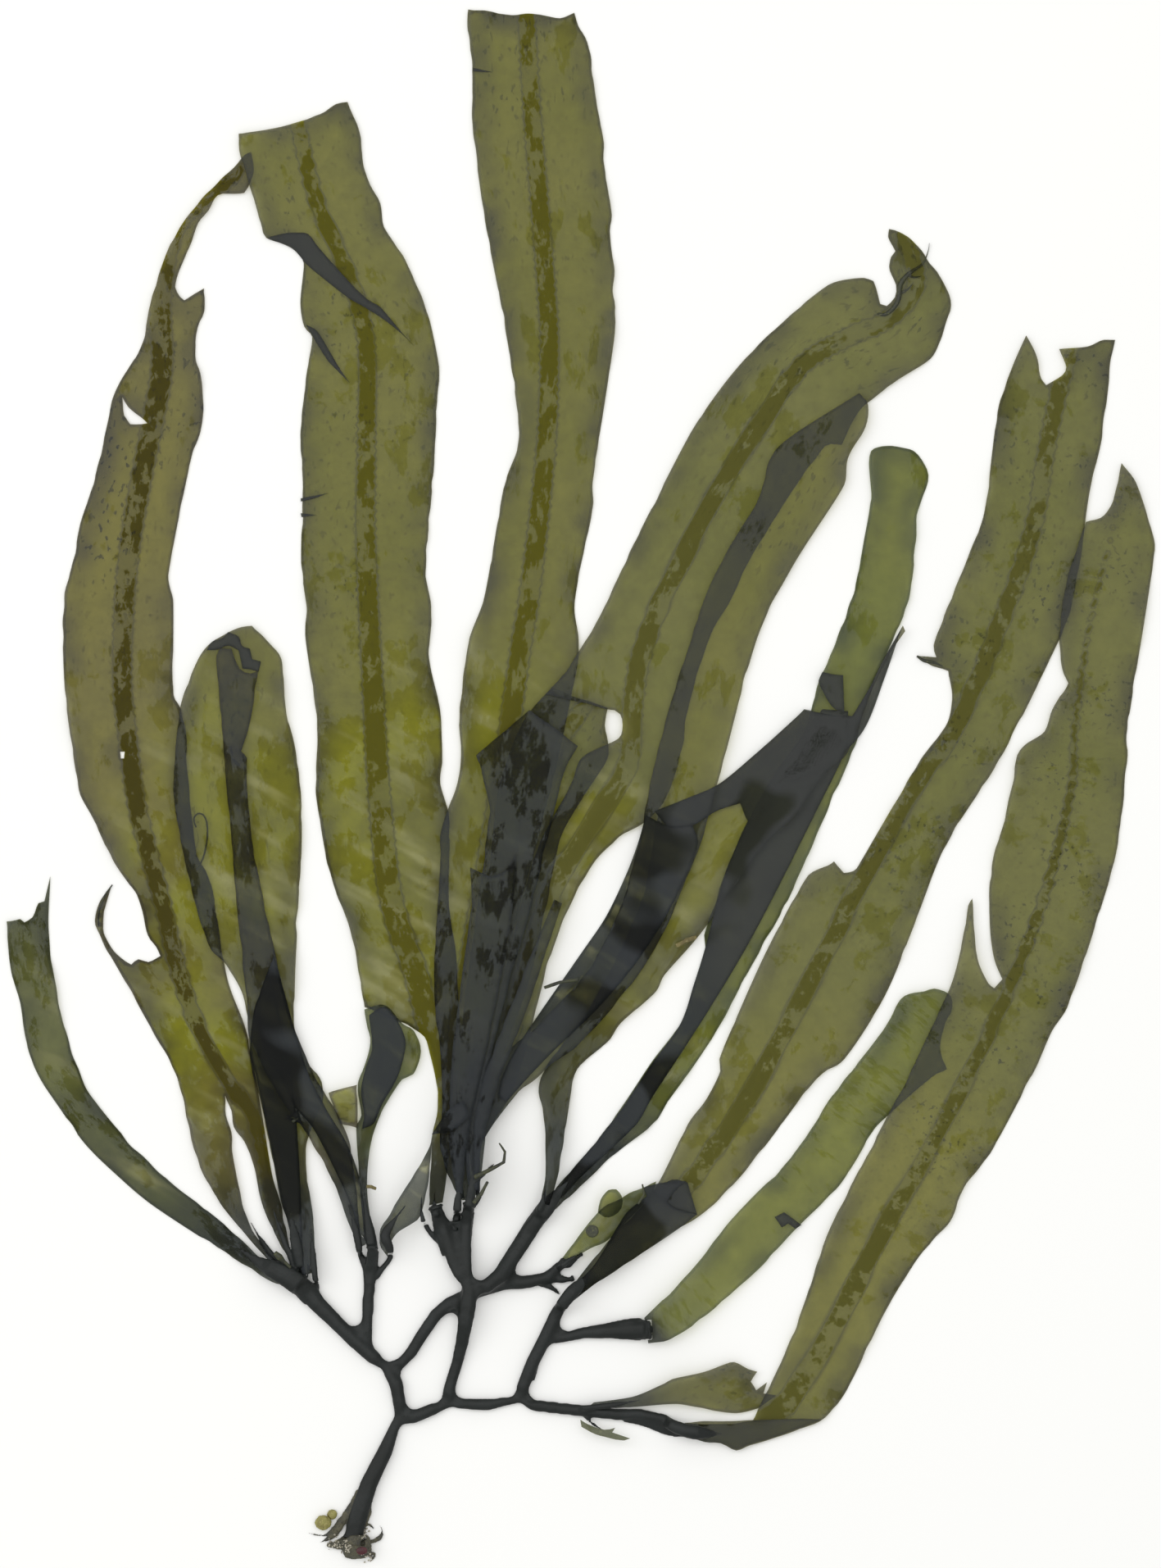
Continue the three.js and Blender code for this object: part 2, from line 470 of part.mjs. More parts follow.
    outline: [
      [30.4, 92], [29, 110], [30, 130], [32, 150], [34, 170], [36, 190], [38, 199], [41, 207],
      [44.5, 213], [50, 219], [56, 216.6], [64, 213.8], [63.2, 209.5], [64.1, 205.8],
      [63.8, 201], [59, 193.5], [53, 183.5], [51.5, 178],
      [48, 162], [44, 145], [38, 128], [32, 110], [32, 92.6]] },
  { name: "blade_bowed",
    outline: [
      [31, 91.6], [30.5, 115], [34, 128], [37, 143], [41, 160], [46, 178], [49.5, 185],
      [55, 195.5], [57.5, 201.5], [63.5, 204.6], [66.6, 206.2], [67.6, 209.5],
      [67, 212.2], [65.6, 213.2], [64, 213.4], [56, 215.4],
      [48, 217], [53, 222.5], [57, 228.7], [61.5, 236], [67, 248], [75, 264], [84, 281.5],
      [92, 293.5], [100, 303], [110, 312.5], [119, 319.5], [123, 320.8], [128, 321.3],
      [130.4, 320.6], [131.2, 318], [132, 314.8], [133.7, 314.3], [135.7, 316.5],
      [136, 319.5], [134.3, 323], [134.7, 326.5], [135.8, 328], [134, 331.5], [134.2, 333.6],
      [137, 333], [140, 331], [145.5, 324], [149.3, 317], [149.6, 313], [147, 305.5],
      [144.5, 301], [136, 295.5], [129.2, 290.2], [126, 286.7], [122.5, 279.3],
      [118.5, 279.2], [109, 266.5], [98.5, 249], [94.5, 240.5], [89.8, 232.5], [84.3, 215],
      [83, 206], [80, 195], [76.5, 188], [72.5, 184.5], [67, 181.5], [60, 174.5], [56, 166],
      [50.5, 154.5], [46.5, 140], [41, 120],
      [36.2, 111.5], [33.6, 107.5], [32, 103.4], [32, 92.6]] },
  { name: "blade_under_bow",
    outline: [
      [31.4, 92.6], [30.5, 104], [31.5, 116], [38, 127], [45.5, 134], [53, 141.5], [60, 150],
      [67, 164], [72, 182], [73.3, 190], [79, 213], [88, 241], [94, 253.5], [101.5, 266],
      [106, 278.5], [126.7, 292.5], [129, 289.5],
      [128.3, 284], [124, 276], [123, 269.5], [119.5, 264], [110, 249], [101, 230.5],
      [97.3, 216], [92.5, 199], [88.5, 184], [84, 172], [78, 158], [70, 145], [57, 130],
      [50, 125], [46.2, 121.4], [41.8, 118], [37.3, 112.6], [34.1, 108], [32.2, 103.6],
      [32, 99], [32, 93.4]] },
  { name: "blade_short_torn",
    outline: [
      [29.4, 92.4], [27, 110], [27, 130], [29.5, 150], [32.5, 174], [34.2, 188], [33, 195],
      [31, 202],
      [44.3, 213.3], [52, 208], [56.5, 204.3], [53.5, 199], [51, 190], [45, 165], [38, 140],
      [32.6, 115], [31.6, 92.8]] },
  { name: "blade_short_inner",
    outline: [
      [26.2, 91.4], [24.5, 104], [24.5, 118], [25.5, 132], [28.5, 155], [29.8, 165],
      [29.5, 174], [33, 172.3], [34.5, 171.8], [38, 173], [41, 177.5],
      [41, 170], [39.5, 160], [37, 145], [31, 116], [28.6, 104], [28.2, 91.6]] },
  { name: "blade_sliver",
    outline: [
      [30.2, 93.4], [31.5, 116], [40, 140.5], [50.5, 166], [52.5, 165], [44, 139.5], [35, 115],
      [31.9, 93.8]] },
  { name: "lobe_small", colour: "doubled",
    outline: [[20, 107.5], [25, 108.5], [29.5, 112], [28, 116], [24, 113.5]] },
  { name: "flap_cross", colour: "doubled",
    outline: [[-6, 117.8], [1.3, 119.8], [1.5, 108.8], [-3, 110]] },
  { name: "blade_bent", colour: "doubled",
    outline: [
      [6.8, 80.4], [7.2, 84], [10.5, 89.5], [15.5, 97.5], [19.5, 104.5], [20.2, 108],
      [19.4, 97], [18, 90], [16.5, 86.2], [12, 83.5], [10, 81], [9, 77]] },
  { name: "flap_torn", colour: "doubled",
    outline: [[75, 93], [80, 96], [83.8, 95.3], [86.3, 87.2], [80, 88.6]] },
  { name: "flap_folded", colour: "doubled",
    outline: [[116.5, 220.5], [117.5, 222.8], [122.7, 222], [123, 212.5], [120, 214], [117, 219]] },
  { name: "leaflet_disc", colour: "greenBlade",
    outline: [
      [61.4, 88], [62, 91], [64, 93.5], [66, 93.7], [67.5, 92], [67.3, 89], [65.4, 87],
      [63, 86.8]] },
];

// ---- Small things that lie on the pile -----------------------------------------------------------
const TWIGS = [
  { name: "bud", route: [[-15.2, 74.2, 0.8], [-16.8, 75.7, 0.9], [-18, 76.9, 1.8], [-19.2, 78, 1.2]] },
  { name: "twig_young_upper",
    route: [[30.6, 97, 1.2], [34.5, 98.9, 1.1], [38, 100.8, 0.9], [38.3, 103.4, 0.7], [36.8, 105.6, 0.5]] },
  { name: "twig_young_lower", route: [[30.4, 90.6, 1.1], [32.3, 92.8, 1], [34, 96, 0.8]] },
  { name: "tendril", route: [[71.4, 90, 0.7], [73, 92.4, 0.7], [72.5, 95, 0.5]] },
  { name: "strand", route: [[48, 144, 0.9], [52, 145.4, 0.9], [56.6, 146, 0.8]] },
  { name: "fragment_brown", route: [[81, 154.4, 1], [83.6, 155.8, 1.3], [86, 156.6, 0.9]] },
  { name: "fragment_pale", route: [[3.8, 94.6, 0.9], [5, 94.5, 1], [6.2, 94, 0.8]] },
];
const SHELL_DISC = { name: "shell_disc", centre: [60, 83.4], radius: 1.6, thickness: 0.5 };

// ---- Making the pieces ---------------------------------------------------------------------------
const pieces = new Map();       // name -> { solid, colour }
const inflated = [];            // stipes grown by the gap, which cut whatever comes after

function cutClear(solid) {
  const near = inflated.filter((other) => overlaps(solid, other));
  return near.length ? largestBody(near.reduce((left, other) => left.subtract(other), solid)) : solid;
}

function overlaps(first, second) {
  const a = first.boundingBox();
  const b = second.boundingBox();
  return [0, 1, 2].every((axis) => a.min[axis] <= b.max[axis] && b.min[axis] <= a.max[axis]);
}

// Raises the pile over a stipe, all but its tip, so that blades that cross it lie on it.
function pileOver(route) {
  const points = toVectors(route);
  const lengths = points.map((point, index) => (index ? point.distanceTo(points[index - 1]) : 0));
  const total = lengths.reduce((sum, length) => sum + length, 0);
  let walked = 0;
  for (let index = 1; index < points.length; index += 1) {
    const steps = Math.ceil(lengths[index]);
    for (let step = 0; step <= steps; step += 1) {
      const t = step / steps;
      if (walked + lengths[index] * t > total - STIPE_TIP) return;
      const point = points[index - 1].clone().lerp(points[index], t);
      const [, , width, lift = 0] = route[index];
      raiseAround(point, width / 2, lift + stipeThickness(width) + GAP);
    }
    walked += lengths[index];
  }
}

function raiseAround({ x, y }, reach, height) {
  for (const dx of [-reach, reach]) {
    for (const dy of [-reach, reach]) {
      const i = Math.floor((x + dx) / DRAPE_CELL);
      const j = Math.floor((y + dy) / DRAPE_CELL);
      [[i, j], [i + 1, j], [i, j + 1], [i + 1, j + 1]].forEach((corner) => {
        const key = corner.join();
        pile.set(key, Math.max(pileAt(key), height));
      });
    }
  }
}

function lump({ centre, half }) {
  const ball = new THREE.IcosahedronGeometry(1, LUMP_DETAIL).scale(...half);
  return toSolid(ball.translate(...centre));
}

// A lump or group of lumps, cut off flat where it lies on the surface.
function flatBottomed(solid) {
  const { min, max } = solid.boundingBox();
  const below = new THREE.BoxGeometry(max[0] - min[0] + 2, max[1] - min[1] + 2, 10);
  below.translate((min[0] + max[0]) / 2, (min[1] + max[1]) / 2, -5);
  return solid.subtract(toSolid(below));
}

function addStipe({ name, route, carries }, drapedBlades, colour = "stipe") {
  const [x, y, width, lift = 0] = route.at(-1);
  const rise = carries ? heightAt(drapedBlades.get(carries).heights, [x, y]) - TIP_SINK : lift;
  const risen = [...route.slice(0, -1), [x, y, width * TIP_WIDTH_KEPT, Math.max(rise, 0)]];
  pieces.set(name, { solid: cutClear(stipeSolid(risen)), colour });
  inflated.push(stipeSolid(risen, GAP));
}

function addHoldfast() {
  const joined = HOLDFAST_LUMPS.map(lump).reduce((all, next) => all.add(next));
  pieces.set("holdfast", { solid: cutClear(flatBottomed(joined)), colour: "holdfast" });
  const grown = HOLDFAST_LUMPS.map(({ centre, half }) => lump({ centre, half: half.map((r) => r + GAP) }));
  inflated.push(...grown);
}

// ---- Assembly ------------------------------------------------------------------------------------
STIPES.forEach(({ route }) => pileOver(route));
const draped = new Map(BLADES.map(({ name, outline, holes }) => [name, blade(outline, holes)]));

STIPES.forEach((stipe) => addStipe(stipe, draped));
addHoldfast();
HAPTERA.forEach((hapteron) => addStipe(hapteron, draped, "holdfast"));
NODULES.forEach(({ name, centre, half }) => {
  pieces.set(name, { solid: cutClear(flatBottomed(lump({ centre, half }))), colour: "nodule" });
  inflated.push(lump({ centre, half: half.map((r) => r + GAP) }));
});
pieces.set(RED_SCRAP.name, { solid: lump(RED_SCRAP), colour: "redWeed" });

BLADES.forEach(({ name, colour = "blade" }) => {
  pieces.set(name, { solid: cutClear(draped.get(name).solid), colour });
});

// Twigs lie on top of everything, so each is lifted by the pile under it.
TWIGS.forEach(({ name, route }) => {
  const lift = Math.max(...route.map((point) => heightAt(pile, point)));
  const lifted = route.map(([x, y, width]) => [x, y, width, lift]);
  pieces.set(name, { solid: cutClear(stipeSolid(lifted)), colour: "doubled" });
});
const disc = new THREE.CylinderGeometry(SHELL_DISC.radius, SHELL_DISC.radius, SHELL_DISC.thickness, 16);
disc.rotateX(Math.PI / 2);
disc.translate(...SHELL_DISC.centre, heightAt(pile, SHELL_DISC.centre) + GAP + SHELL_DISC.thickness / 2);
pieces.set(SHELL_DISC.name, { solid: toSolid(disc), colour: "nodule" });

const frond = new THREE.Group();
frond.name = "kelp_frond";
pieces.forEach(({ solid, colour }, name) => {
  const material = new THREE.MeshStandardMaterial({
    color: COLOURS[colour], roughness: 0.4, metalness: 0, name,
  });
  const mesh = new THREE.Mesh(toGeometry(solid), material);
  mesh.name = name;
  frond.add(mesh);
});

// The origin is the middle of the frond's underside.
const extent = new THREE.Box3().setFromObject(frond);
const middle = extent.getCenter(new THREE.Vector3());
frond.children.forEach((mesh) => mesh.geometry.translate(-middle.x, -middle.y, -extent.min.z));

export default frond;
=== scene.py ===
# A kelp frond laid flat on a pale table: wet translucent blades, dark leathery stipes, a gritty holdfast.
import functools
import json
import math
import random

import bmesh
import bpy
import numpy as np
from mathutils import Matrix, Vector, noise
from mathutils.bvhtree import BVHTree
from mathutils.geometry import delaunay_2d_cdt

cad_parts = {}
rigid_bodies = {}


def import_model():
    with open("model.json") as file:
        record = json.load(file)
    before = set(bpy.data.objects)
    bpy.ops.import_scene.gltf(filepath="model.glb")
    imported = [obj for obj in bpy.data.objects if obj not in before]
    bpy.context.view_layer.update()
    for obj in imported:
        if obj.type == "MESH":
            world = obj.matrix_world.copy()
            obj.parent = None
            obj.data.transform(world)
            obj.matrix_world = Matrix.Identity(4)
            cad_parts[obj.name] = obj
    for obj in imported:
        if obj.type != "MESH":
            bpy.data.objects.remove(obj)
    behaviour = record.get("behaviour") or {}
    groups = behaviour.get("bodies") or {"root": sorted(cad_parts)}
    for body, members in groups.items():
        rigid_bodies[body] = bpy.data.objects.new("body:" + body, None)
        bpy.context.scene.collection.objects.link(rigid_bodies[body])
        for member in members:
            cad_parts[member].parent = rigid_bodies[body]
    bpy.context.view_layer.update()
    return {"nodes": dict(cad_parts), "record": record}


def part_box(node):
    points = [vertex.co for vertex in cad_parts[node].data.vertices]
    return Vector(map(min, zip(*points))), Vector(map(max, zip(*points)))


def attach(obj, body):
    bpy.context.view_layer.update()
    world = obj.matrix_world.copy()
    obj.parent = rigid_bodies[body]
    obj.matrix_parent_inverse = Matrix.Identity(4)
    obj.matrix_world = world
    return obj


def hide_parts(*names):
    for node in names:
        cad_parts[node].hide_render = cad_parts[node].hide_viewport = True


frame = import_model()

MM = 0.001
nodes = frame["nodes"]

# The frond's foot, which routes and centrelines are measured from, is found from two blades' ends.
FAR_LEFT_TIP_X = -86.5
TALLEST_TIP_Y = 388.5
FOOT = Vector((
    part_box("blade_far_left")[0].x - FAR_LEFT_TIP_X * MM,
    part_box("blade_tallest")[1].y - TALLEST_TIP_Y * MM,
    0.0,
))


def from_foot(x, y, z=0.0):
    """A place given in millimetres from the foot, in the frame's metres."""
    return FOOT + Vector((x, y, z)) * MM


# ---- Sizes of living kelp, in millimetres --------------------------------------------------------
CAD_THICKNESS = 0.45     # each blade's place in the pile
LAMINA = 0.26            # a blade between its rib and its margin
MARGIN = 0.10            # a blade at its very edge
RIB_WIDTH = 1.18         # how much wider the midribs are than the half-widths given below
SCALLOP = 0.5            # how far in the margin's scallops go
SCALLOP_LENGTH = 4.6     # and how long each is
RIB_RISE = 0.36          # how far the midrib stands above the lamina
MESH_STEP = 1.25         # spacing of a blade's own mesh
FLAP_LENGTH = 30.0       # a shorter piece is a flap, with no foot of its own
FAR_FROM_FOOT = 70.0     # where a foot's darkening has ended
FOLD_STEP = 0.8          # spacing of a fold's mesh
FOLD_THICK = 0.2         # a fold's one layer
RUFFLE_REACH = 9.0       # how far in from the margin a blade ruffles
RUFFLE_RISE = 1.1        # the highest a free margin lifts
RUFFLE_LENGTH = 13.0     # from one ruffle to the next
SWELL_LENGTH = 41.6      # from one broad swelling of a blade to the next
SWELL_RISE = 0.35        # the highest of those
FOOT_THICK = 0.5         # how much thicker a blade is where it leaves its stipe
FOOT_LENGTH = 14.0       # and how far up the blade that goes
STIPE_VOXEL = 0.36       # fineness of the stipes' skin

# ---- Centrelines: from base to tip, and the half-width of the midrib where there is one -----------
CENTRELINES = {
    "blade_far_left": ([(-15, 70), (-35, 84), (-55, 103), (-70, 121), (-77, 140), (-80, 168)], 0, 0),
    "blade_left_long": ([
        (-14, 72), (-19, 88), (-22, 102), (-25, 112), (-32, 122), (-39, 135), (-44, 150), (-47, 163),
        (-51, 178), (-54, 190), (-56, 205), (-57.5, 220), (-57, 240), (-55.5, 255), (-53, 270),
        (-50, 285), (-47.5, 300), (-48, 317), (-44, 335), (-30, 348)], 1.5, 2.4),
    "blade_centre_left": ([
        (21, 90), (23, 110), (20, 130), (16, 147), (12, 158), (9, 170), (6.5, 195), (5, 222),
        (4, 240), (3.3, 260), (3.5, 280), (3.5, 305), (-1, 322), (-8, 338), (-11, 348),
        (-14, 362)], 3.0, 2.1),
    "blade_green_tall": ([
        (49, 88), (64, 106), (83, 130), (94, 154), (108, 184), (120, 213), (131, 242), (136, 278)], 0, 0),
    "leaf_young": ([(53, 76), (64, 86), (76, 94)], 0, 0),
    "blade_right_large": ([
        (53, 66), (68, 79), (84, 95), (90, 103), (97, 113), (104, 125), (110, 137), (116, 148),
        (121, 158), (127, 170), (134, 183), (141, 195), (149, 206), (156, 220), (162, 235),
        (167, 248), (171, 262), (173, 275), (176, 290), (180, 305)], 2.2, 2.0),
    "blade_green_short": ([
        (73, 58), (90, 70), (108, 90), (122, 106), (136, 127), (147, 141)], 0, 0),
    "blade_paddle": ([(59, 39), (75, 41.5), (90, 44), (104, 44)], 0, 0),
    "scrap_low": ([(57, 35.5), (63, 33), (69, 31.5)], 0, 0),
    "blade_left_round": ([
        (-11, 73), (-12, 100), (-17, 125), (-24, 150), (-28, 180), (-29, 205), (-27, 234)], 0, 0),
    "blade_tallest": ([
        (28.7, 91), (26, 110), (27, 135), (33, 170), (38, 200), (42, 228), (44, 240), (46.5, 260),
        (48.5, 280), (49.3, 300), (49, 312), (47, 338), (45, 362), (43.5, 388)], 2.6, 1.9),
    "blade_wide_hidden": ([
        (48, 90), (51, 115), (64, 140), (82, 172), (100, 192), (118, 206), (131, 222), (138, 234)], 0, 0),
    "blade_rightmost": ([
        (83, 33.5), (94, 32), (105, 37), (112, 45), (122, 62), (133, 84), (144, 103), (156, 126),
        (166, 148), (174, 170), (180, 195), (180.5, 207), (184, 233), (190, 258), (193, 274)], 2.9, 1.7),
    "blade_curled": ([(4, 81), (3, 100), (7, 120), (8, 139)], 0, 0),
    "blade_left_narrow": ([
        (3.4, 80), (-2, 98), (-12, 117), (-20, 133), (-25, 160), (-29, 195), (-29, 228)], 0, 0),
    "blade_bowed_leg": ([
        (31, 92), (31, 115), (37, 150), (42, 175), (46, 193), (53, 207), (58, 214)], 1.8, 1.8),
    "blade_bowed": ([
        (32, 92), (34, 112), (42, 142), (50, 168), (55, 177), (62, 188), (69, 200), (70, 213),
        (72, 226), (77, 240), (84, 254), (90, 266), (97, 277), (104, 288), (113, 300), (125, 307),
        (134, 311), (141, 320), (138, 332)], 2.4, 2.0),
    "blade_under_bow": ([
        (32, 93), (34, 112), (52, 132), (70, 157), (82, 190), (92, 226), (108, 256), (124, 287)], 0, 0),
    "blade_short_torn": ([(30.5, 93), (30, 120), (36, 155), (42, 190), (44, 210)], 0, 0),
    "blade_short_inner": ([(27, 92), (28, 120), (33, 150), (35.5, 176)], 0, 0),
    "blade_sliver": ([(31.8, 94), (33.5, 115), (42, 140), (51.5, 165.5)], 0, 0),
    "lobe_small": ([(20, 108), (29, 113.5)], 0, 0),
    "flap_cross": ([(-5, 114), (1.3, 114)], 0, 0),
    "blade_bent": ([(7.6, 80), (12, 88), (19.5, 107)], 0, 0),
    "flap_torn": ([(75, 92), (86, 90)], 0, 0),
    "flap_folded": ([(117, 220), (123, 215)], 0, 0),
    "leaflet_disc": ([(61.5, 88), (67.4, 91)], 0, 0),
}


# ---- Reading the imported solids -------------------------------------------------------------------
WELD = 2e-6


@functools.cache
def welded(name):
    """A node's points and faces, with the points that faces share counted once."""
    mesh = nodes[name].data
    keys = {}
    index = [keys.setdefault(tuple(round(c / WELD) for c in v.co), len(keys)) for v in mesh.vertices]
    points = [Vector(key) * WELD for key in keys]
    faces = [tuple(index[i] for i in polygon.vertices) for polygon in mesh.polygons]
    return points, [face for face in faces if len(set(face)) == 3]


def upper_faces(points, faces):
    """The faces that look up."""
    def looks_up(face):
        a, b, c = (points[i] for i in face)
        normal = (b - a).cross(c - a)
        return normal.z > 0.5 * normal.length
    return [face for face in faces if looks_up(face)]


def rims(faces):
    """The closed loops that bound a set of faces, each as a list of point numbers."""
    sides = {(face[k], face[(k + 1) % 3]) for face in faces for k in range(3)}
    following = {a: b for a, b in sides if (b, a) not in sides}
    loops = []
    while following:
        start, here = following.popitem()
        loop = [start]
        while here != start and here in following:
            loop.append(here)
            here = following.pop(here)
        loops.append(loop)
    return [loop for loop in loops if len(loop) > 2]


# ---- Outlines ------------------------------------------------------------------------------------
STRAIGHT = math.radians(1.5)     # a lesser turn is only where the solid's own faces meet
CORNER = math.radians(52)        # a greater one is a real corner or the foot of a tear


def turn(before, here, after):
    """How far a route turns at a point."""
    return abs((here - before).angle_signed(after - here, 0.0))


def key_points(loop):
    """A loop without the points that lie along its straight runs."""
    kept = [p for k, p in enumerate(loop)
            if turn(loop[k - 1], p, loop[(k + 1) % len(loop)]) > STRAIGHT]
    return kept if len(kept) > 3 else loop


def rounded(loop, step):
    """The loop as a smooth line at about one step between points; its corners stay sharp."""
    keys = key_points(loop)
    count = len(keys)
    sharp = [turn(keys[k - 1], keys[k], keys[(k + 1) % count]) > CORNER for k in range(count)]
    line = []
    for k in range(count):
        a, b = keys[k], keys[(k + 1) % count]
        before = a if sharp[k] else keys[k - 1]
        after = b if sharp[(k + 1) % count] else keys[(k + 2) % count]
        steps = max(1, round((b - a).length / step))
        slope_a = (b - before) * 0.5 if before != a else (b - a)
        slope_b = (after - a) * 0.5 if after != b else (b - a)
        slope_a *= min(1.0, (b - a).length / max(slope_a.length, 1e-9))
        slope_b *= min(1.0, (b - a).length / max(slope_b.length, 1e-9))
        for s in range(steps):
            t = s / steps
            h00, h10 = (1 + 2 * t) * (1 - t) ** 2, t * (1 - t) ** 2
            h01, h11 = t * t * (3 - 2 * t), t * t * (t - 1)
            line.append(h00 * a + h10 * slope_a + h01 * b + h11 * slope_b)
    return np.array([(p.x, p.y) for p in line])


def smooth_route(line, steps):
    """A route through the same points, with so many steps between each two, and no corners."""
    fine = []
    for k in range(len(line) - 1):
        a, b = line[k], line[k + 1]
        before, after = line[max(k - 1, 0)], line[min(k + 2, len(line) - 1)]
        for s in range(steps):
            t = s / steps
            fine.append(0.5 * (2 * a + (b - before) * t + (2 * before - 5 * a + 4 * b - after) * t * t
                               + (3 * a - before - 3 * b + after) * t ** 3))
    return fine + [line[-1]]


def inside(points, loops):
    """Which points lie within the outer loop and outside the holes."""
    result = np.zeros(len(points), bool)
    x, y = points[:, 0], points[:, 1]
    for loop in loops:
        x0, y0 = loop.T
        x1, y1 = np.roll(loop, -1, axis=0).T
        for k in range(len(loop)):
            if y0[k] != y1[k]:
                crosses = (y0[k] > y) != (y1[k] > y)
                result ^= crosses & (x < (x1[k] - x0[k]) * (y - y0[k]) / (y1[k] - y0[k]) + x0[k])
    return result


def distance_to(points, line, closed=False):
    """Each point's distance to a line, how far along the line it falls, and on which side."""
    ends = np.roll(line, -1, axis=0) if closed else line[1:]
    starts = line if closed else line[:-1]
    spans = ends - starts
    lengths = np.hypot(*spans.T)
    walked = np.concatenate(([0.0], np.cumsum(lengths)[:-1]))
    best = np.full(len(points), 1e9)
    along = np.zeros(len(points))
    side = np.ones(len(points))
    for start, span, length, far in zip(starts, spans, lengths, walked):
        offset = points - start
        t = np.clip(offset @ span / max(length * length, 1e-12), 0, 1)
        gap = offset - t[:, None] * span
        reach = np.hypot(*gap.T)
        nearer = reach < best
        best = np.where(nearer, reach, best)
        along = np.where(nearer, far + t * length, along)
        side = np.where(nearer, np.sign(span[0] * offset[:, 1] - span[1] * offset[:, 0]), side)
    return best, along, side


def triangulated(loops, step):
    """A fine even mesh that fills the loops: its points and its triangles."""
    low, high = loops[0].min(axis=0), loops[0].max(axis=0)
    row = step * math.sqrt(3) / 2
    xs, ys = np.meshgrid(np.arange(low[0], high[0], step), np.arange(low[1], high[1], row))
    xs[1::2] += step / 2
    filling = np.column_stack((xs.ravel(), ys.ravel()))
    filling = filling[inside(filling, loops)]
    clear = np.min([distance_to(filling, loop, closed=True)[0] for loop in loops], axis=0)
    filling = filling[clear > step * 0.55]
    edges = []
    total = 0
    for loop in loops:
        edges += [(total + k, total + (k + 1) % len(loop)) for k in range(len(loop))]
        total += len(loop)
    everything = np.vstack((*loops, filling))
    verts, _, faces, *_ = delaunay_2d_cdt([Vector(p) for p in everything], edges, [], 0, 1e-9)
    points = np.array([tuple(v) for v in verts])
    triangles = np.array([f for f in faces if len(f) == 3])
    middles = points[triangles].mean(axis=1)
    return points, triangles[inside(middles, loops)]


# How much sooner than others some blades turn thin above the stipe.
SHORT_FEET = {
    "blade_rightmost": 2.4, "blade_green_short": 6.0, "blade_right_large": 1.7, "blade_paddle": 1.5,
    "blade_bowed_leg": 1.5, "blade_wide_hidden": 0.8, "blade_left_long": 1.3, "blade_centre_left": 1.5,
}


# ---- Blades --------------------------------------------------------------------------------------
def smooth_step(low, high, x):
    """0 below one value, 1 above another, and a smooth rise between them."""
    t = np.clip((x - low) / (high - low), 0, 1)
    return t * t * (3 - 2 * t)


def relaxed(values, triangles, rounds):
    """Values evened out over a mesh, each point towards the mean of its neighbours."""
    sides = np.vstack((triangles[:, [0, 1]], triangles[:, [1, 2]], triangles[:, [2, 0]]))
    a = np.concatenate((sides[:, 0], sides[:, 1]))
    b = np.concatenate((sides[:, 1], sides[:, 0]))
    weight = np.maximum(np.bincount(a, minlength=len(values)), 1)
    for _ in range(rounds):
        mean = np.bincount(a, weights=values[b], minlength=len(values)) / weight
        values = 0.35 * values + 0.65 * mean
    return values


def ripple(x, y, length, seed):
    """Smooth noise from -1 to 1 with the given wavelength, in millimetres."""
    return noise.noise(Vector((x / length, y / length, seed)))


@functools.cache
def tree_of(*names):
    """One search tree over several solids."""
    points, faces = [], []
    for name in names:
        more, corners = welded(name)
        faces += [tuple(i + len(points) for i in corner) for corner in corners]
        points += more
    return BVHTree.FromPolygons(points, faces)


def room_above(name, points, heights):
    """How far each point of a blade is below the next solid over it, at most a centimetre."""
    others = tree_of(*sorted(set(nodes) - {name}))
    reach = 10 * MM
    room = []
    for (x, y), z in zip(points, heights):
        hit = others.ray_cast(Vector((x, y, z + 0.02 * MM)), Vector((0, 0, 1)), reach)[3]
        room.append(reach if hit is None else hit)
    return np.array(room)


WET_MIDDLE = (14, 128)        # the pile's wettest place, in millimetres from the foot
WET_REACH = (66, 104)         # how far from it the blades are soaked, and where they are only damp
WET_WANDER = 16               # how far the border between them wanders in and out


def wetness(points):
    """How far each point's tissue is soaked: brighter in one layer, slate where layers touch."""
    x, y = ((points - np.array(FOOT.xy)) / MM).T
    off = np.hypot(x - WET_MIDDLE[0], (y - WET_MIDDLE[1]) * 0.92)
    off += [WET_WANDER * ripple(a, b, 34, 5.5) for a, b in zip(x, y)]
    return 1 - smooth_step(*WET_REACH, off)


THIN_MIDDLE = (116, 84)       # where the lower right blades are youngest and palest
THIN_REACH = (28, 66)         # how far from there they are at their palest, and where that ends


def thinness(points):
    """How young each point's tissue is: thin and pale."""
    x, y = ((points - np.array(FOOT.xy)) / MM).T
    return 1 - smooth_step(*THIN_REACH, np.hypot(x - THIN_MIDDLE[0], y - THIN_MIDDLE[1]))


def scalloped(loop, seed):
    """An outline with small bites along its margin, all of them inwards."""
    ahead = np.roll(loop, -1, axis=0) - np.roll(loop, 1, axis=0)
    inward = np.column_stack((-ahead[:, 1], ahead[:, 0])) / np.maximum(np.hypot(*ahead.T), 1e-9)[:, None]
    depth = [max(ripple(x / MM, y / MM, SCALLOP_LENGTH, seed), 0.0) * SCALLOP * MM for x, y in loop]
    return loop + inward * np.array(depth)[:, None]


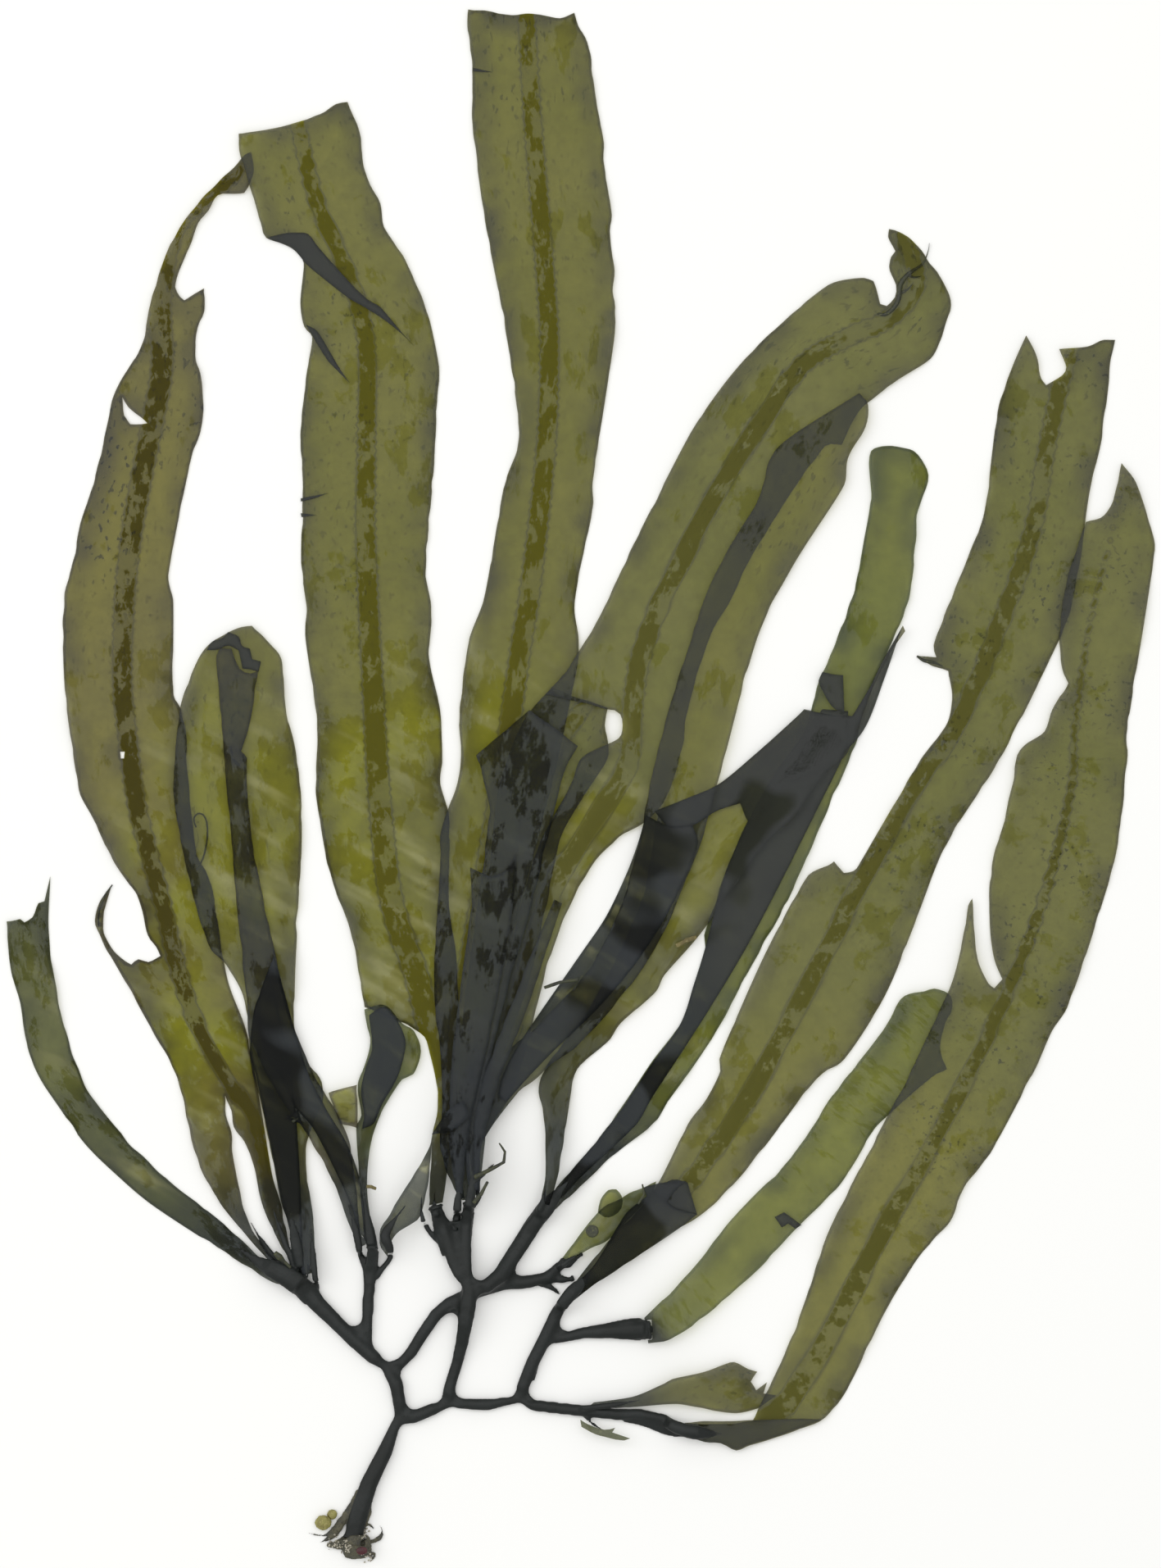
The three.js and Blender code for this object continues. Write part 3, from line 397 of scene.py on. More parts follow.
def closed_sheet(title, points, triangles, bottom, crown, measures):
    """A closed mesh between two heights over one flat triangulation; measures go on as attributes."""
    count = len(points)
    faces = [tuple(t + count) for t in triangles] + [tuple(t[::-1]) for t in triangles]
    for loop in rims([tuple(t) for t in triangles]):
        for k, a in enumerate(loop):
            b = loop[(k + 1) % len(loop)]
            faces += [(a, b, b + count), (a, b + count, a + count)]
    mesh = bpy.data.meshes.new(title)
    places = [(x, y, z) for layer in (bottom, crown) for (x, y), z in zip(points, layer)]
    mesh.from_pydata(places, [], [tuple(int(i) for i in face) for face in faces])
    for label, values in dict(measures, wet=wetness(points), thin=thinness(points)).items():
        layer = mesh.attributes.new(label, "FLOAT", "POINT")
        layer.data.foreach_set("value", np.float32(np.tile(values, 2)))
    smooth(mesh)
    mesh.update()
    return bpy.data.objects.new(title, mesh)


def blade(name, seed):
    """A blade as a fine closed sheet that lies where its solid lies, with its rib and ruffled margin."""
    solid_points, solid_faces = welded(name)
    tops = upper_faces(solid_points, solid_faces)
    loops = [scalloped(rounded([solid_points[i].xy for i in loop], MESH_STEP * MM), seed)
             for loop in rims(tops)]
    loops.sort(key=lambda loop: -np.ptp(loop[:, 0]) * np.ptp(loop[:, 1]))
    points, triangles = triangulated(loops, MESH_STEP * MM)

    top = BVHTree.FromPolygons(solid_points, tops)
    heights = np.array([top.find_nearest(Vector((x, y, 3 * MM)))[0].z for x, y in points])
    falls = [top.ray_cast(Vector((x, y, 1)), Vector((0, 0, -1)))[0] for x, y in points]
    heights = np.array([h if fall is None else fall.z for h, fall in zip(heights, falls)])
    room = relaxed(room_above(name, points, heights), triangles, 6)
    underside = relaxed(heights, triangles, 14) - CAD_THICKNESS * MM

    rim = np.min([distance_to(points, loop, closed=True)[0] for loop in loops], axis=0) / MM
    route, rib_base, rib_tip = CENTRELINES[name]
    line = np.array(smooth_route([np.array(from_foot(x, y).xy) for x, y in route], 5))
    across, along, side = distance_to(points, line)
    across, along = across / MM, along / MM
    length = np.hypot(*np.diff(line, axis=0).T).sum() / MM
    if length < FLAP_LENGTH:
        along = along + FAR_FROM_FOOT
    along = along * SHORT_FEET.get(name, 1.0)
    rib_half = (rib_base + (rib_tip - rib_base) * along / length) * RIB_WIDTH
    rib = 1 - smooth_step(0.75, 1.1, across / np.maximum(rib_half, 1e-3)) if rib_base else 0 * rim

    free = smooth_step(0.4, 3.0, room / MM)
    near_rim = np.clip(1 - rim / RUFFLE_REACH, 0, 1) ** 2
    waves = np.array([ripple(x / MM, y / MM, RUFFLE_LENGTH, seed) for x, y in points])
    swells = np.array([ripple(x / MM, y / MM, SWELL_LENGTH, seed + 9) for x, y in points])
    lift = free * (near_rim * RUFFLE_RISE * np.clip(waves + 0.15, 0, 1)
                   + SWELL_RISE * np.clip(swells, 0, 1))
    lift *= smooth_step(0, 25, along)

    edge = smooth_step(0, 1.2, rim)
    thick = MARGIN + (LAMINA - MARGIN) * edge + RIB_RISE * rib * edge * np.clip(free + 0.3, 0, 1)
    thick += FOOT_THICK * (1 - smooth_step(0, FOOT_LENGTH, along)) * edge * np.clip(free + 0.2, 0, 1)
    bottom = np.maximum(underside, 0) + lift * MM
    crown = bottom + thick * MM

    return closed_sheet(name + "_tissue", points, triangles, bottom, crown, {
        "rim_mm": rim, "rib": rib, "along_mm": along, "across_mm": across * side,
        "to_tip_mm": length - along})


# Where a blade doubles over on itself or carries a loose flap: its outline, from the foot.
FOLDS = {
    "fold_green_tall": [
        (50, 91.5), (55, 98.5), (61, 105.3), (68, 114.5), (75, 125), (82, 134.8), (85.5, 145),
        (88.3, 154), (93, 171.5), (98, 183.5), (106, 197.5), (112.8, 207), (117.5, 213.5), (124, 213),
        (123.5, 204), (117, 190), (111.5, 179), (106, 168.5), (100.5, 157.5), (95, 148.5), (88, 136.5),
        (81.5, 126.5), (75, 116.5), (70.8, 109.5), (63, 102), (57, 96.5), (52, 91.3)],
    "fold_right_base": [
        (53.6, 66.6), (57, 71), (61, 75.6), (63.6, 80), (66.4, 84.5), (69, 88.2), (73.6, 91.8),
        (72.8, 94), (77.3, 95.2), (83.6, 95.7), (80.9, 93.4), (78.6, 90.5), (80.9, 88.8), (86.2, 87.3),
        (82.7, 84.5), (75.5, 79.6), (69, 75.6), (62, 71), (55.4, 66)],
    "fold_left_round": [
        (-12.7, 73.5), (-13.8, 79), (-17.1, 89), (-18.9, 97), (-20.5, 105), (-21.7, 111), (-22.7, 116),
        (-24, 122), (-25.5, 128), (-24, 140), (-20, 146), (-17, 130), (-14.5, 117), (-13.6, 106),
        (-12.9, 96), (-12.4, 85), (-12.2, 76)],
    "fold_left_narrow": [
        (3.6, 80.6), (1.4, 84), (0.3, 88), (-2.6, 95), (-6.4, 102.5), (-9.6, 108.6), (-14.5, 114.5),
        (-17.5, 121), (-22, 128), (-23.5, 140), (-19.5, 152), (-15.8, 139), (-11.5, 124), (-6.4, 113.5),
        (-1.5, 105.5), (1.4, 98), (2.9, 90), (3.9, 83)],
    "fold_curled": [
        (2.4, 108.6), (3, 112), (2.2, 118), (3.4, 124), (5, 129), (4.2, 137), (7, 139), (9, 138.6),
        (12, 134.5), (13.4, 130), (12.2, 124), (10.6, 120), (7.6, 115), (5.4, 110)],
    "pleat_centre_left": [
        (-21.5, 331.3), (-17, 332.4), (-14, 332.6), (-11, 332.2), (-8.5, 329), (-5, 325), (0, 319.5),
        (4, 315.8), (7, 314), (10, 310.5), (12.6, 307.4), (15.6, 304.2), (11.6, 308), (7, 311.5),
        (3, 314), (-1, 316.3), (-6, 320.3), (-11, 324.3), (-15, 328.6)],
    "pleat_centre_left_small": [
        (-11.6, 309.6), (-8.8, 308), (-7, 305), (-5, 301.8), (-3, 298.4), (-0.6, 295), (-3.6, 298),
        (-6.4, 301), (-8.4, 304.2)],
    "crease_centre_left": [(-12.9, 266.2), (-6, 267.5), (-9.5, 266.2), (-12.9, 265.4)],
    "crease_centre_left_low": [(-12.9, 262.5), (-9, 262), (-12.7, 261.5)],
    "crease_tallest": [(30.1, 373.8), (35.2, 372.7), (30.2, 372.9)],
    "crease_green_short": [
        (105.6, 86.6), (108, 87.8), (112.3, 84.6), (110.8, 83.6), (109, 85), (107.4, 84)],
    "fold_rightmost_base": [
        (81, 35), (88, 35.6), (95, 35.6), (100, 35.9), (106, 36), (112, 36.2), (117.5, 36), (113, 34.3),
        (106, 31.8), (98.5, 29.6), (96, 28.7), (92, 30.4), (88, 30.8), (83, 32)],
    "fold_wide_top": [
        (75.5, 188), (84, 191.4), (91.5, 194.7), (101, 202.5), (107, 208), (111, 211.5), (113, 213.5),
        (120, 212), (125, 211.8), (129.4, 219), (132.6, 225.5), (137.4, 234), (133, 221), (128, 208.5),
        (121, 201), (114, 196.5), (107.5, 193.5), (105, 189), (104, 185), (101, 182.6), (98.6, 186),
        (97, 190), (91, 188), (85, 184.4), (79, 183.8)],
    "fold_under_low": [
        (73.4, 187), (79, 184.4), (85, 184.6), (86.4, 180), (83.5, 172), (78, 161), (70.4, 149.4),
        (61, 138.4), (51, 128.8), (44, 121.6), (38.6, 115.4), (36.4, 117), (37.6, 122), (42, 130.4),
        (47.4, 138.4), (53, 146.6), (58, 153.6), (63.4, 161.6), (68.4, 172), (71.4, 180)],
    "tip_left_narrow": [
        (-36.4, 228.2), (-35, 230.4), (-32.6, 231.2), (-31, 232.8), (-28.4, 231.6), (-27.6, 229.4),
        (-25.6, 228.6), (-25, 226), (-22.8, 225.4), (-23.4, 222.8), (-25.4, 223.4), (-27.4, 223.6),
        (-28.4, 228.2), (-31, 229.4), (-33.6, 228.4)],
    "flap_small_left": [(-17, 111), (-13.6, 113.5), (-12.4, 109.6), (-14, 110.4)],
}


@functools.cache
def finished_blades():
    """One search tree over every finished blade."""
    points, faces = [], []
    for piece in bpy.context.scene.objects:
        if piece.name.endswith("_tissue"):
            base = len(points)
            points += [v.co.copy() for v in piece.data.vertices]
            faces += [tuple(i + base for i in p.vertices) for p in piece.data.polygons]
    return BVHTree.FromPolygons(points, faces)


def top_at(x, y):
    """How high the finished blades stand at a place; the table is at 0."""
    hit = finished_blades().ray_cast(Vector((x, y, 1)), Vector((0, 0, -1)))[0]
    return 0.0 if hit is None else hit.z


def fold(title, outline, seed):
    """A thin sheet pressed on the blade under it, with its free edge just lifting."""
    loop = rounded([Vector(from_foot(x, y).xy) for x, y in outline], FOLD_STEP * MM)
    points, triangles = triangulated([loop], FOLD_STEP * MM)
    heights = np.array([top_at(x, y) for x, y in points])
    heights = np.maximum(relaxed(heights, triangles, 4), heights - 0.02 * MM)
    rim = distance_to(points, loop, closed=True)[0] / MM
    waves = np.array([ripple(x / MM, y / MM, 6.0, seed) for x, y in points])
    bottom = heights + (0.06 + 0.12 * np.clip(waves, 0, 1) * (rim < 1.5)) * MM
    crown = bottom + (MARGIN + (FOLD_THICK - MARGIN) * smooth_step(0, 0.9, rim)) * MM
    far = np.full(len(points), FAR_FROM_FOOT)
    return closed_sheet(title, points, triangles, bottom, crown, {
        "rim_mm": rim, "rib": 0 * rim, "along_mm": far, "across_mm": 0 * rim, "to_tip_mm": 3 * far})


def object_from(build, title):
    """A new object from a mesh under construction."""
    mesh = bpy.data.meshes.new(title)
    build.to_mesh(mesh)
    build.free()
    return bpy.data.objects.new(title, mesh)


def smooth(mesh):
    """Shades every face smooth."""
    mesh.polygons.foreach_set("use_smooth", [True] * len(mesh.polygons))


def show(piece, material, slot, *replaced):
    """Puts a finished piece in the scene, on the frond's one body."""
    piece.data.materials.append(material)
    bpy.context.scene.collection.objects.link(piece)
    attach(piece, "root")
    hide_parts(*replaced)
    return piece


# ---- Stipes, holdfast and small growths ----------------------------------------------------------
# How the stipes split and flatten into their blades: each is [x, y, width] from the foot, in millimetres.
BRANCHES = [
    [(-10, 66.4, 5.2), (-13.5, 70, 5.6), (-17.5, 72.7, 5.4), (-22.5, 75, 5.6), (-28, 78.6, 5.2)],
    [(-13.4, 69.4, 2), (-15.2, 71.2, 1.8), (-17.6, 74.2, 1.6), (-20.6, 77.6, 2), (-23.2, 81.4, 2.6),
     (-25.4, 85.4, 3)],
    [(-12.6, 69.4, 2), (-13.9, 72.4, 1.8), (-15.2, 76, 1.5), (-16.8, 80.4, 1.8), (-18.4, 84.6, 2.4),
     (-19.8, 88.8, 3)],
    [(-11.8, 69.4, 2.2), (-12.7, 73, 2.2), (-13.4, 77.6, 2.8), (-14.5, 83, 4), (-15.4, 88, 4.6)],
    [(-9.6, 66.4, 2.2), (-8.9, 69.6, 1.6), (-9.4, 73.6, 1.8), (-9.8, 79, 2.4), (-10.2, 84, 2.8)],
    [(-15.6, 72.4, 0.9), (-16.6, 74.4, 0.7), (-17.4, 76, 0.8)],
    [(-11, 71.6, 0.7), (-10.9, 74, 0.7), (-11.4, 77, 0.9)],
    [(4.4, 70, 3.2), (3.6, 73.6, 2.2), (2.2, 77, 1.7), (1.5, 81, 2.2), (0.6, 85, 3.4), (-0.8, 90, 4.4)],
    [(4.8, 74, 3.4), (5.2, 78, 3), (4.7, 82, 2.9), (4, 86, 2.2), (3.2, 91, 1.9), (2.9, 96, 1.8)],
    [(5.6, 71.6, 2.4), (7.4, 73.6, 1.6), (9.4, 76.2, 1.5), (9.6, 79, 2.2), (8.4, 82.4, 3.4),
     (10.4, 85.8, 4.4), (13.6, 90, 4.8)],
    [(24.4, 77.4, 4.2), (23.2, 80.6, 4), (21.6, 84, 2.8), (20.6, 89, 3), (20.8, 94, 3.4)],
    [(23.6, 79, 2.4), (25.3, 82.6, 1.9), (26.2, 87, 2.2), (26.6, 92, 3.2), (27, 96, 3.8)],
    [(22.6, 80, 2), (20.2, 81.8, 1.4), (18.4, 84.6, 1.4), (17.4, 88.6, 1.8), (17.6, 93, 2.2)],
    [(28.2, 73, 2.6), (28.5, 80, 2.7), (29, 86, 2.8), (29.7, 91.6, 3), (30.4, 98, 2.6), (31, 103, 2)],
    [(30, 88.6, 1), (31.4, 90.6, 1.1), (32.4, 92.8, 1.1), (33.4, 95.2, 0.9)],
    [(30.6, 95.6, 1), (32.6, 97.2, 0.9), (34.8, 99.2, 1.1), (36.6, 100.9, 1.3)],
    [(43, 81.4, 4), (46, 85.8, 4.4), (50, 91, 4.8), (54, 95.6, 5)],
    [(41.4, 79.6, 1.6), (43.8, 84.4, 1.5), (46.6, 88.4, 1.6), (48, 92, 2), (48.6, 96, 2.6)],
    [(49, 71.8, 2), (52.4, 74.6, 1.7), (55, 76.6, 1.4), (58, 78, 1.2)],
    [(48, 71.4, 2), (51, 72.8, 1.4), (54, 75.4, 1.1), (57.6, 77, 1)],
    [(46.6, 70.6, 2), (50, 70.8, 1.6), (53.4, 70.2, 1.3)],
    [(47, 70, 1.8), (50, 68.8, 1.4), (52.6, 66.6, 1.6)],
    [(51, 62.4, 3.2), (53.2, 66, 3.4), (56.4, 69.6, 4), (60, 73, 4.8)],
    [(44.6, 46, 2.2), (46.4, 51.4, 1.6), (48.2, 57.4, 1.4), (50.4, 61.6, 1.4)],
    [(62, 58, 3.4), (68, 58.6, 5), (73.4, 58.6, 6.4), (75.4, 58.6, 6)],
    [(54, 38.8, 1.8), (60, 39.2, 1.5), (66, 39.9, 2), (72, 41, 2.6)],
    [(78, 35.6, 2.8), (83, 33.6, 3.6), (88, 32.8, 3.8), (93, 32.4, 3.4)],
    [(58, 37.2, 1.3), (60, 35.2, 1), (63, 33.4, 1)],
    [(68, 36, 1.5), (73, 34.8, 1.3), (78, 32.8, 1.3), (82, 31.8, 1.4), (86, 31.2, 1.6)],
]
STIPE_ROUND = 0.62       # a stipe's thickness for its width
STIPE_MOST = 2.3         # the thickest a branch gets
WEB_FILLET = 1.5         # the round crotches of the main forks
TUBE_SIDES = 10
TUBE_SINK = 0.45         # how far a tube sinks into the blade that it grows on
TUBE_LEAST = 0.16        # half of its least thickness
BRIDGE_STEPS = 2         # how many steps it looks ahead and back, to bridge the gap at a blade's base


def tube(build, route):
    """A closed tapered tube along a route, resting on whatever lies under it."""
    line = [Vector((*from_foot(x, y).xy, width * MM)) for x, y, width in route]
    fine = smooth_route(line, 3)
    floors = [max(top_at(here.x, here.y) - TUBE_SINK * MM, 0.0) for here in fine]
    rings = []
    for k, here in enumerate(fine):
        ahead = (fine[min(k + 1, len(fine) - 1)] - fine[max(k - 1, 0)]).xy.normalized()
        sideways = Vector((-ahead.y, ahead.x, 0))
        floor = max(floors[max(k - BRIDGE_STEPS, 0):k + BRIDGE_STEPS + 1])
        ending = smooth_step(0.5, 1.0, k / (len(fine) - 1))
        half = here.z / 2 * (1 - 0.8 * ending)
        thin = 1 - 0.85 * ending
        rise = max(min(half * STIPE_ROUND, STIPE_MOST / 2 * MM) * thin, TUBE_LEAST * MM)
        middle = Vector((here.x, here.y, floor + rise))
        ring = []
        for s in range(TUBE_SIDES):
            angle = math.tau * s / TUBE_SIDES
            ring.append(build.verts.new(
                middle + sideways * half * math.cos(angle) + Vector((0, 0, rise * math.sin(angle)))))
        rings.append(ring)
    for one, two in zip(rings, rings[1:]):
        for s in range(TUBE_SIDES):
            t = (s + 1) % TUBE_SIDES
            build.faces.new((one[s], one[t], two[t], two[s]))
    build.faces.new(rings[0][::-1])
    build.faces.new(rings[-1])


def skin(names, title, voxel, swell, fillet=0.0, rough=0.0, seed=0.0, branches=()):
    """One rounded skin round some solids. It swells over their gaps, and a fillet webs their forks."""
    build = bmesh.new()
    for name in names:
        points, faces = welded(name)
        verts = [build.verts.new(p) for p in points]
        for face in faces:
            build.faces.new([verts[i] for i in face])
    bmesh.ops.recalc_face_normals(build, faces=build.faces)
    piece = object_from(build, title)
    bpy.context.scene.collection.objects.link(piece)
    push(piece, swell + fillet)
    remesh(piece, voxel)
    even_out(piece, 4)
    if fillet:
        push(piece, -fillet)
        remesh(piece, voxel)
        even_out(piece, 3)
    if branches:
        build = bmesh.new()
        build.from_mesh(piece.data)
        for route in branches:
            tube(build, route)
        build.to_mesh(piece.data)
        build.free()
        remesh(piece, voxel * 0.8)
        even_out(piece, 5)
    if rough:
        roughen(piece, rough, seed)
    for vertex in piece.data.vertices:
        vertex.co.z = max(vertex.co.z, 0.0)
    bpy.context.scene.collection.objects.unlink(piece)
    smooth(piece.data)
    return piece


def push(piece, distance):
    """Moves every point along its normal, in millimetres."""
    normals = [vertex.normal.copy() for vertex in piece.data.vertices]
    for vertex, normal in zip(piece.data.vertices, normals):
        vertex.co += normal * distance * MM


def apply_modifier(piece, kind, **settings):
    """Runs one modifier on a piece and keeps its result."""
    modifier = piece.modifiers.new(kind.lower(), kind)
    for key, value in settings.items():
        setattr(modifier, key, value)
    graph = bpy.context.evaluated_depsgraph_get()
    finished = bpy.data.meshes.new_from_object(piece.evaluated_get(graph))
    piece.modifiers.clear()
    piece.data = finished


def remesh(piece, voxel):
    """Makes overlapping shells one closed skin."""
    apply_modifier(piece, "REMESH", mode="VOXEL", voxel_size=voxel * MM)


def even_out(piece, rounds):
    """Smooths out the steps that remeshing leaves."""
    apply_modifier(piece, "SMOOTH", factor=0.5, iterations=rounds)


def roughen(piece, height, seed):
    """Uneven growth: broad swellings with finer wrinkles on them."""
    normals = [vertex.normal.copy() for vertex in piece.data.vertices]
    for vertex, normal in zip(piece.data.vertices, normals):
        x, y, z = vertex.co / MM
        broad = noise.noise(Vector((x * 0.55, y * 0.55, z * 0.55 + seed)))
        fine = noise.noise(Vector((x * 2.1, y * 2.1, z * 2.1 - seed)))
        vertex.co += normal * (broad + 0.45 * fine) * height * MM


# ---- Materials -----------------------------------------------------------------------------------
def linear(hex_colour):
    """An sRGB hex colour as the linear colour that a shader takes."""
    channels = [int(hex_colour[k:k + 2], 16) / 255 for k in (1, 3, 5)]
    return [c / 12.92 if c <= 0.04045 else ((c + 0.055) / 1.055) ** 2.4 for c in channels] + [1.0]


def add_node(tree, kind, inputs=None, out=0, **settings):
    """Adds one node, with inputs that are values or other nodes' outputs, and gives one output back."""
    made = tree.nodes.new("ShaderNode" + kind)
    for key, value in settings.items():
        setattr(made, key, value)
    for key, value in (inputs or {}).items():
        if isinstance(value, bpy.types.NodeSocket):
            tree.links.new(value, made.inputs[key])
        else:
            made.inputs[key].default_value = value
    return made.outputs[out] if made.outputs else None


def blank(name):
    """A new material, and the function that adds a node to it."""
    material = bpy.data.materials.new(name)
    material.use_nodes = True
    material.node_tree.nodes.clear()
    return material, functools.partial(add_node, material.node_tree)


def in_millimetres(add):
    """Places on a piece, in millimetres, so that a pattern's scale is one over its real length."""
    place = add("TexCoord", out="Object")
    return add("VectorMath", {0: place, 1: (1000, 1000, 1000)}, operation="MULTIPLY")


def patches(add, place, length, low, high, detail, roughness=0.5, least=0.0, most=1.0, soft=False):
    """A mask of ragged patches of one length in millimetres, cut out between two levels of noise."""
    level = add("TexNoise", {"Vector": place, "Scale": 1 / length, "Detail": detail,
                             "Roughness": roughness})
    return add("MapRange", {"Value": level, "From Min": low, "From Max": high,
                            "To Min": least, "To Max": most},
               interpolation_type="SMOOTHSTEP" if soft else "LINEAR")


# Light passes both faces of a blade on its way down and again on its way up, so each face takes
# the fourth root of the colour that the tissue shows over white.
FACE_SHARE = 0.25
WATER_IOR = 1.36
STREAK_HIGHLIGHT = "#b3b06a"         # painted highlight streaks on the wet film
HELD_WET = "#303334"     # the skin where water holds it down in the soaked middle
AIR_DRY = "#7b7e7e"      # where air lies behind it, at the dry tips
AIR_WET = "#6b7178"      # and in the soaked middle
RIB_SKIN = "#3b3a2c"     # where it covers the solid midrib


def kelp_tissue(name, through, through_warm, rib_through, rim_shade_and_rib_line_through, foot_through,
                soaked="#9c9b1c", pale="#918d34", held_dry="#565a4c", cover=0.17, flecked=0.0):
    """A wet brown-algal blade: fucoxanthin tints what passes, and water gives a faint slate sheen."""
    material, add = blank(name)
    mm = in_millimetres(add)
    rim, rib, along, across, to_tip, wet, thin = (
        add("Attribute", out="Fac", attribute_name=label)
        for label in ("rim_mm", "rib", "along_mm", "across_mm", "to_tip_mm", "wet", "thin"))
    lengthwise = add("CombineXYZ", {"X": across, "Y": along})

    # Soaked tissue lets more through, and yellower, in broad patches.
    soak = add("Math", {0: wet, 1: patches(add, mm, 26, 0.42, 0.6, 3)}, operation="MULTIPLY")
    # Painted highlights: pale streaks a few millimetres wide on the wet film, all slanting one way.
    slanted = add("Mapping", {"Vector": mm, "Rotation": (0, 0, -0.5), "Scale": (6, 1, 1)},
                  vector_type="TEXTURE")
    streak = patches(add, slanted, 6, 0.5, 0.72, 2, soft=True)
    highlight_streaks = add("Math", {0: wet, 1: streak}, operation="MULTIPLY")

    # Painted shade of the ruffled margin: a thin dark line along the edge, then patchy painted shade that
    # fades over 7 mm.
    rim_shade = add("MapRange", {"Value": rim, "From Min": 0.25, "From Max": 7.5,
                                 "To Min": 1.0, "To Max": 0.0}, interpolation_type="SMOOTHSTEP")
    rim_wander = add("TexNoise", {"Vector": mm, "Scale": 1 / 14, "Detail": 3.0})
    rim_patch = add("MapRange", {"Value": rim_wander, "From Min": 0.38, "From Max": 0.66,
                                 "To Min": 0.12, "To Max": 0.95})
    ruffle_shade = add("Math", {0: rim_shade, 1: rim_patch}, operation="MULTIPLY")
    rim_line = add("MapRange", {"Value": rim, "From Min": 0.25, "From Max": 0.85,
                                "To Min": 0.75, "To Max": 0.0})
    margin = add("Math", {0: ruffle_shade, 1: rim_line}, operation="ADD", use_clamp=True)

    # The midrib is denser tissue between two greyer lines.
    rib_edge = add("MapRange", {"Value": rib, "From Min": 0.0, "From Max": 0.5},
                   interpolation_type="SMOOTHSTEP")
    rib_core = add("MapRange", {"Value": rib, "From Min": 0.45, "From Max": 0.8},
                   interpolation_type="SMOOTHSTEP")
    line_zone = add("Math", {0: rib_edge, 1: rib_core}, operation="SUBTRACT", use_clamp=True)
    rib_lines = add("Math", {0: line_zone, 1: 0.8}, operation="MULTIPLY")

    # Water holds parts of a blade flat on what it lies on. Those parts are clear and dark; air
    # behind the rest greys it. The border between them is ragged, and runs in tongues along the rib.
    tongues = add("VectorMath", {0: lengthwise, 1: (1.0, 0.45, 1.0)}, operation="MULTIPLY")
    contact_noise = add("TexNoise", {"Vector": tongues, "Scale": 1 / 7, "Detail": 9.0,
                                     "Roughness": 0.72})
    zone = add("TexNoise", {"Vector": mm, "Scale": 1 / 30, "Detail": 2.0})
    contact_sum = add("Math", {0: zone, 1: 0.55, 2: contact_noise}, operation="MULTIPLY_ADD")
    contact_sum = add("Math", {0: wet, 1: 0.08, 2: contact_sum}, operation="MULTIPLY_ADD")
    contact = add("MapRange", {"Value": contact_sum, "From Min": 0.845, "From Max": 0.875})
    # Along the midrib air makes small blisters, and they cover about a third of it.
    blister_noise = add("TexNoise", {"Vector": tongues, "Scale": 1 / 3.6, "Detail": 8.0,
                                     "Roughness": 0.68})
    blister_sum = add("Math", {0: zone, 1: 0.5, 2: blister_noise}, operation="MULTIPLY_ADD")
    between = add("MapRange", {"Value": blister_sum, "From Min": 0.7, "From Max": 0.73})
    contact = add("Mix", {0: rib_core, 2: contact, 3: between})
    air = add("Math", {0: 1.0, 1: contact}, operation="SUBTRACT")
    blisters = add("Math", {0: air, 1: rib_core}, operation="MULTIPLY")
    solid_rib = add("Math", {0: rib_core, 1: blisters}, operation="SUBTRACT", use_clamp=True)
    rib_tint = add("Math", {0: blisters, 1: 0.5, 2: solid_rib}, operation="MULTIPLY_ADD",
                   use_clamp=True)

    # Towards the stipe the tissue is thick and lets almost nothing through.
    foot_wander = add("Math", {0: along, 1: rim_wander}, operation="MULTIPLY")
    foot = add("MapRange", {"Value": foot_wander, "From Min": 6.0, "From Max": 24.0,
                            "To Min": 1.0, "To Max": 0.0}, interpolation_type="SMOOTHSTEP")

    # Old tissue near the tip carries slate flecks, each a short dash along the blade.
    stretched = add("VectorMath", {0: lengthwise, 1: (1.0, 0.42, 1.0)}, operation="MULTIPLY")
    fleck = patches(add, stretched, 1.25, 0.6, 0.64, 2, most=flecked)
    aged = add("MapRange", {"Value": to_tip, "From Min": 30.0, "From Max": 120.0,
                            "To Min": 1.0, "To Max": 0.0})
    old_fleck = add("Math", {0: fleck, 1: aged}, operation="MULTIPLY")
    flecks = add("Math", {0: old_fleck, 1: rim_patch}, operation="MULTIPLY")

    # Pigment drifts over 40 mm and mottles over 4 mm, with all of the above laid on it in turn.
    drift = patches(add, mm, 40, 0.38, 0.62, 2, soft=True)
    tissue = linear(through)
    # The streaks mixed in here are painted highlights of the wet film.
    for mask, colour in ((drift, through_warm), (soak, soaked), (highlight_streaks, STREAK_HIGHLIGHT), (thin, pale)):
        tissue = add("Mix", {0: mask, 6: tissue, 7: linear(colour)}, out=2, data_type="RGBA")
    mottle = patches(add, mm, 4, 0.3, 0.7, 6, 0.7, 0.84, 1.14)
    tissue = add("VectorMath", {0: tissue, "Scale": mottle}, operation="SCALE")
    # The margin mask mixed in here is painted shade of the ruffles, with its thin dark edge line.
    for mask, colour in ((margin, rim_shade_and_rib_line_through), (rib_lines, rim_shade_and_rib_line_through),
                         (rib_tint, rib_through), (foot, foot_through), (flecks, foot_through)):
        tissue = add("Mix", {0: mask, 6: tissue, 7: linear(colour)}, out=2, data_type="RGBA")
    face = add("Gamma", {"Color": tissue, "Gamma": FACE_SHARE})
    passing = add("BsdfTransparent", {"Color": face})

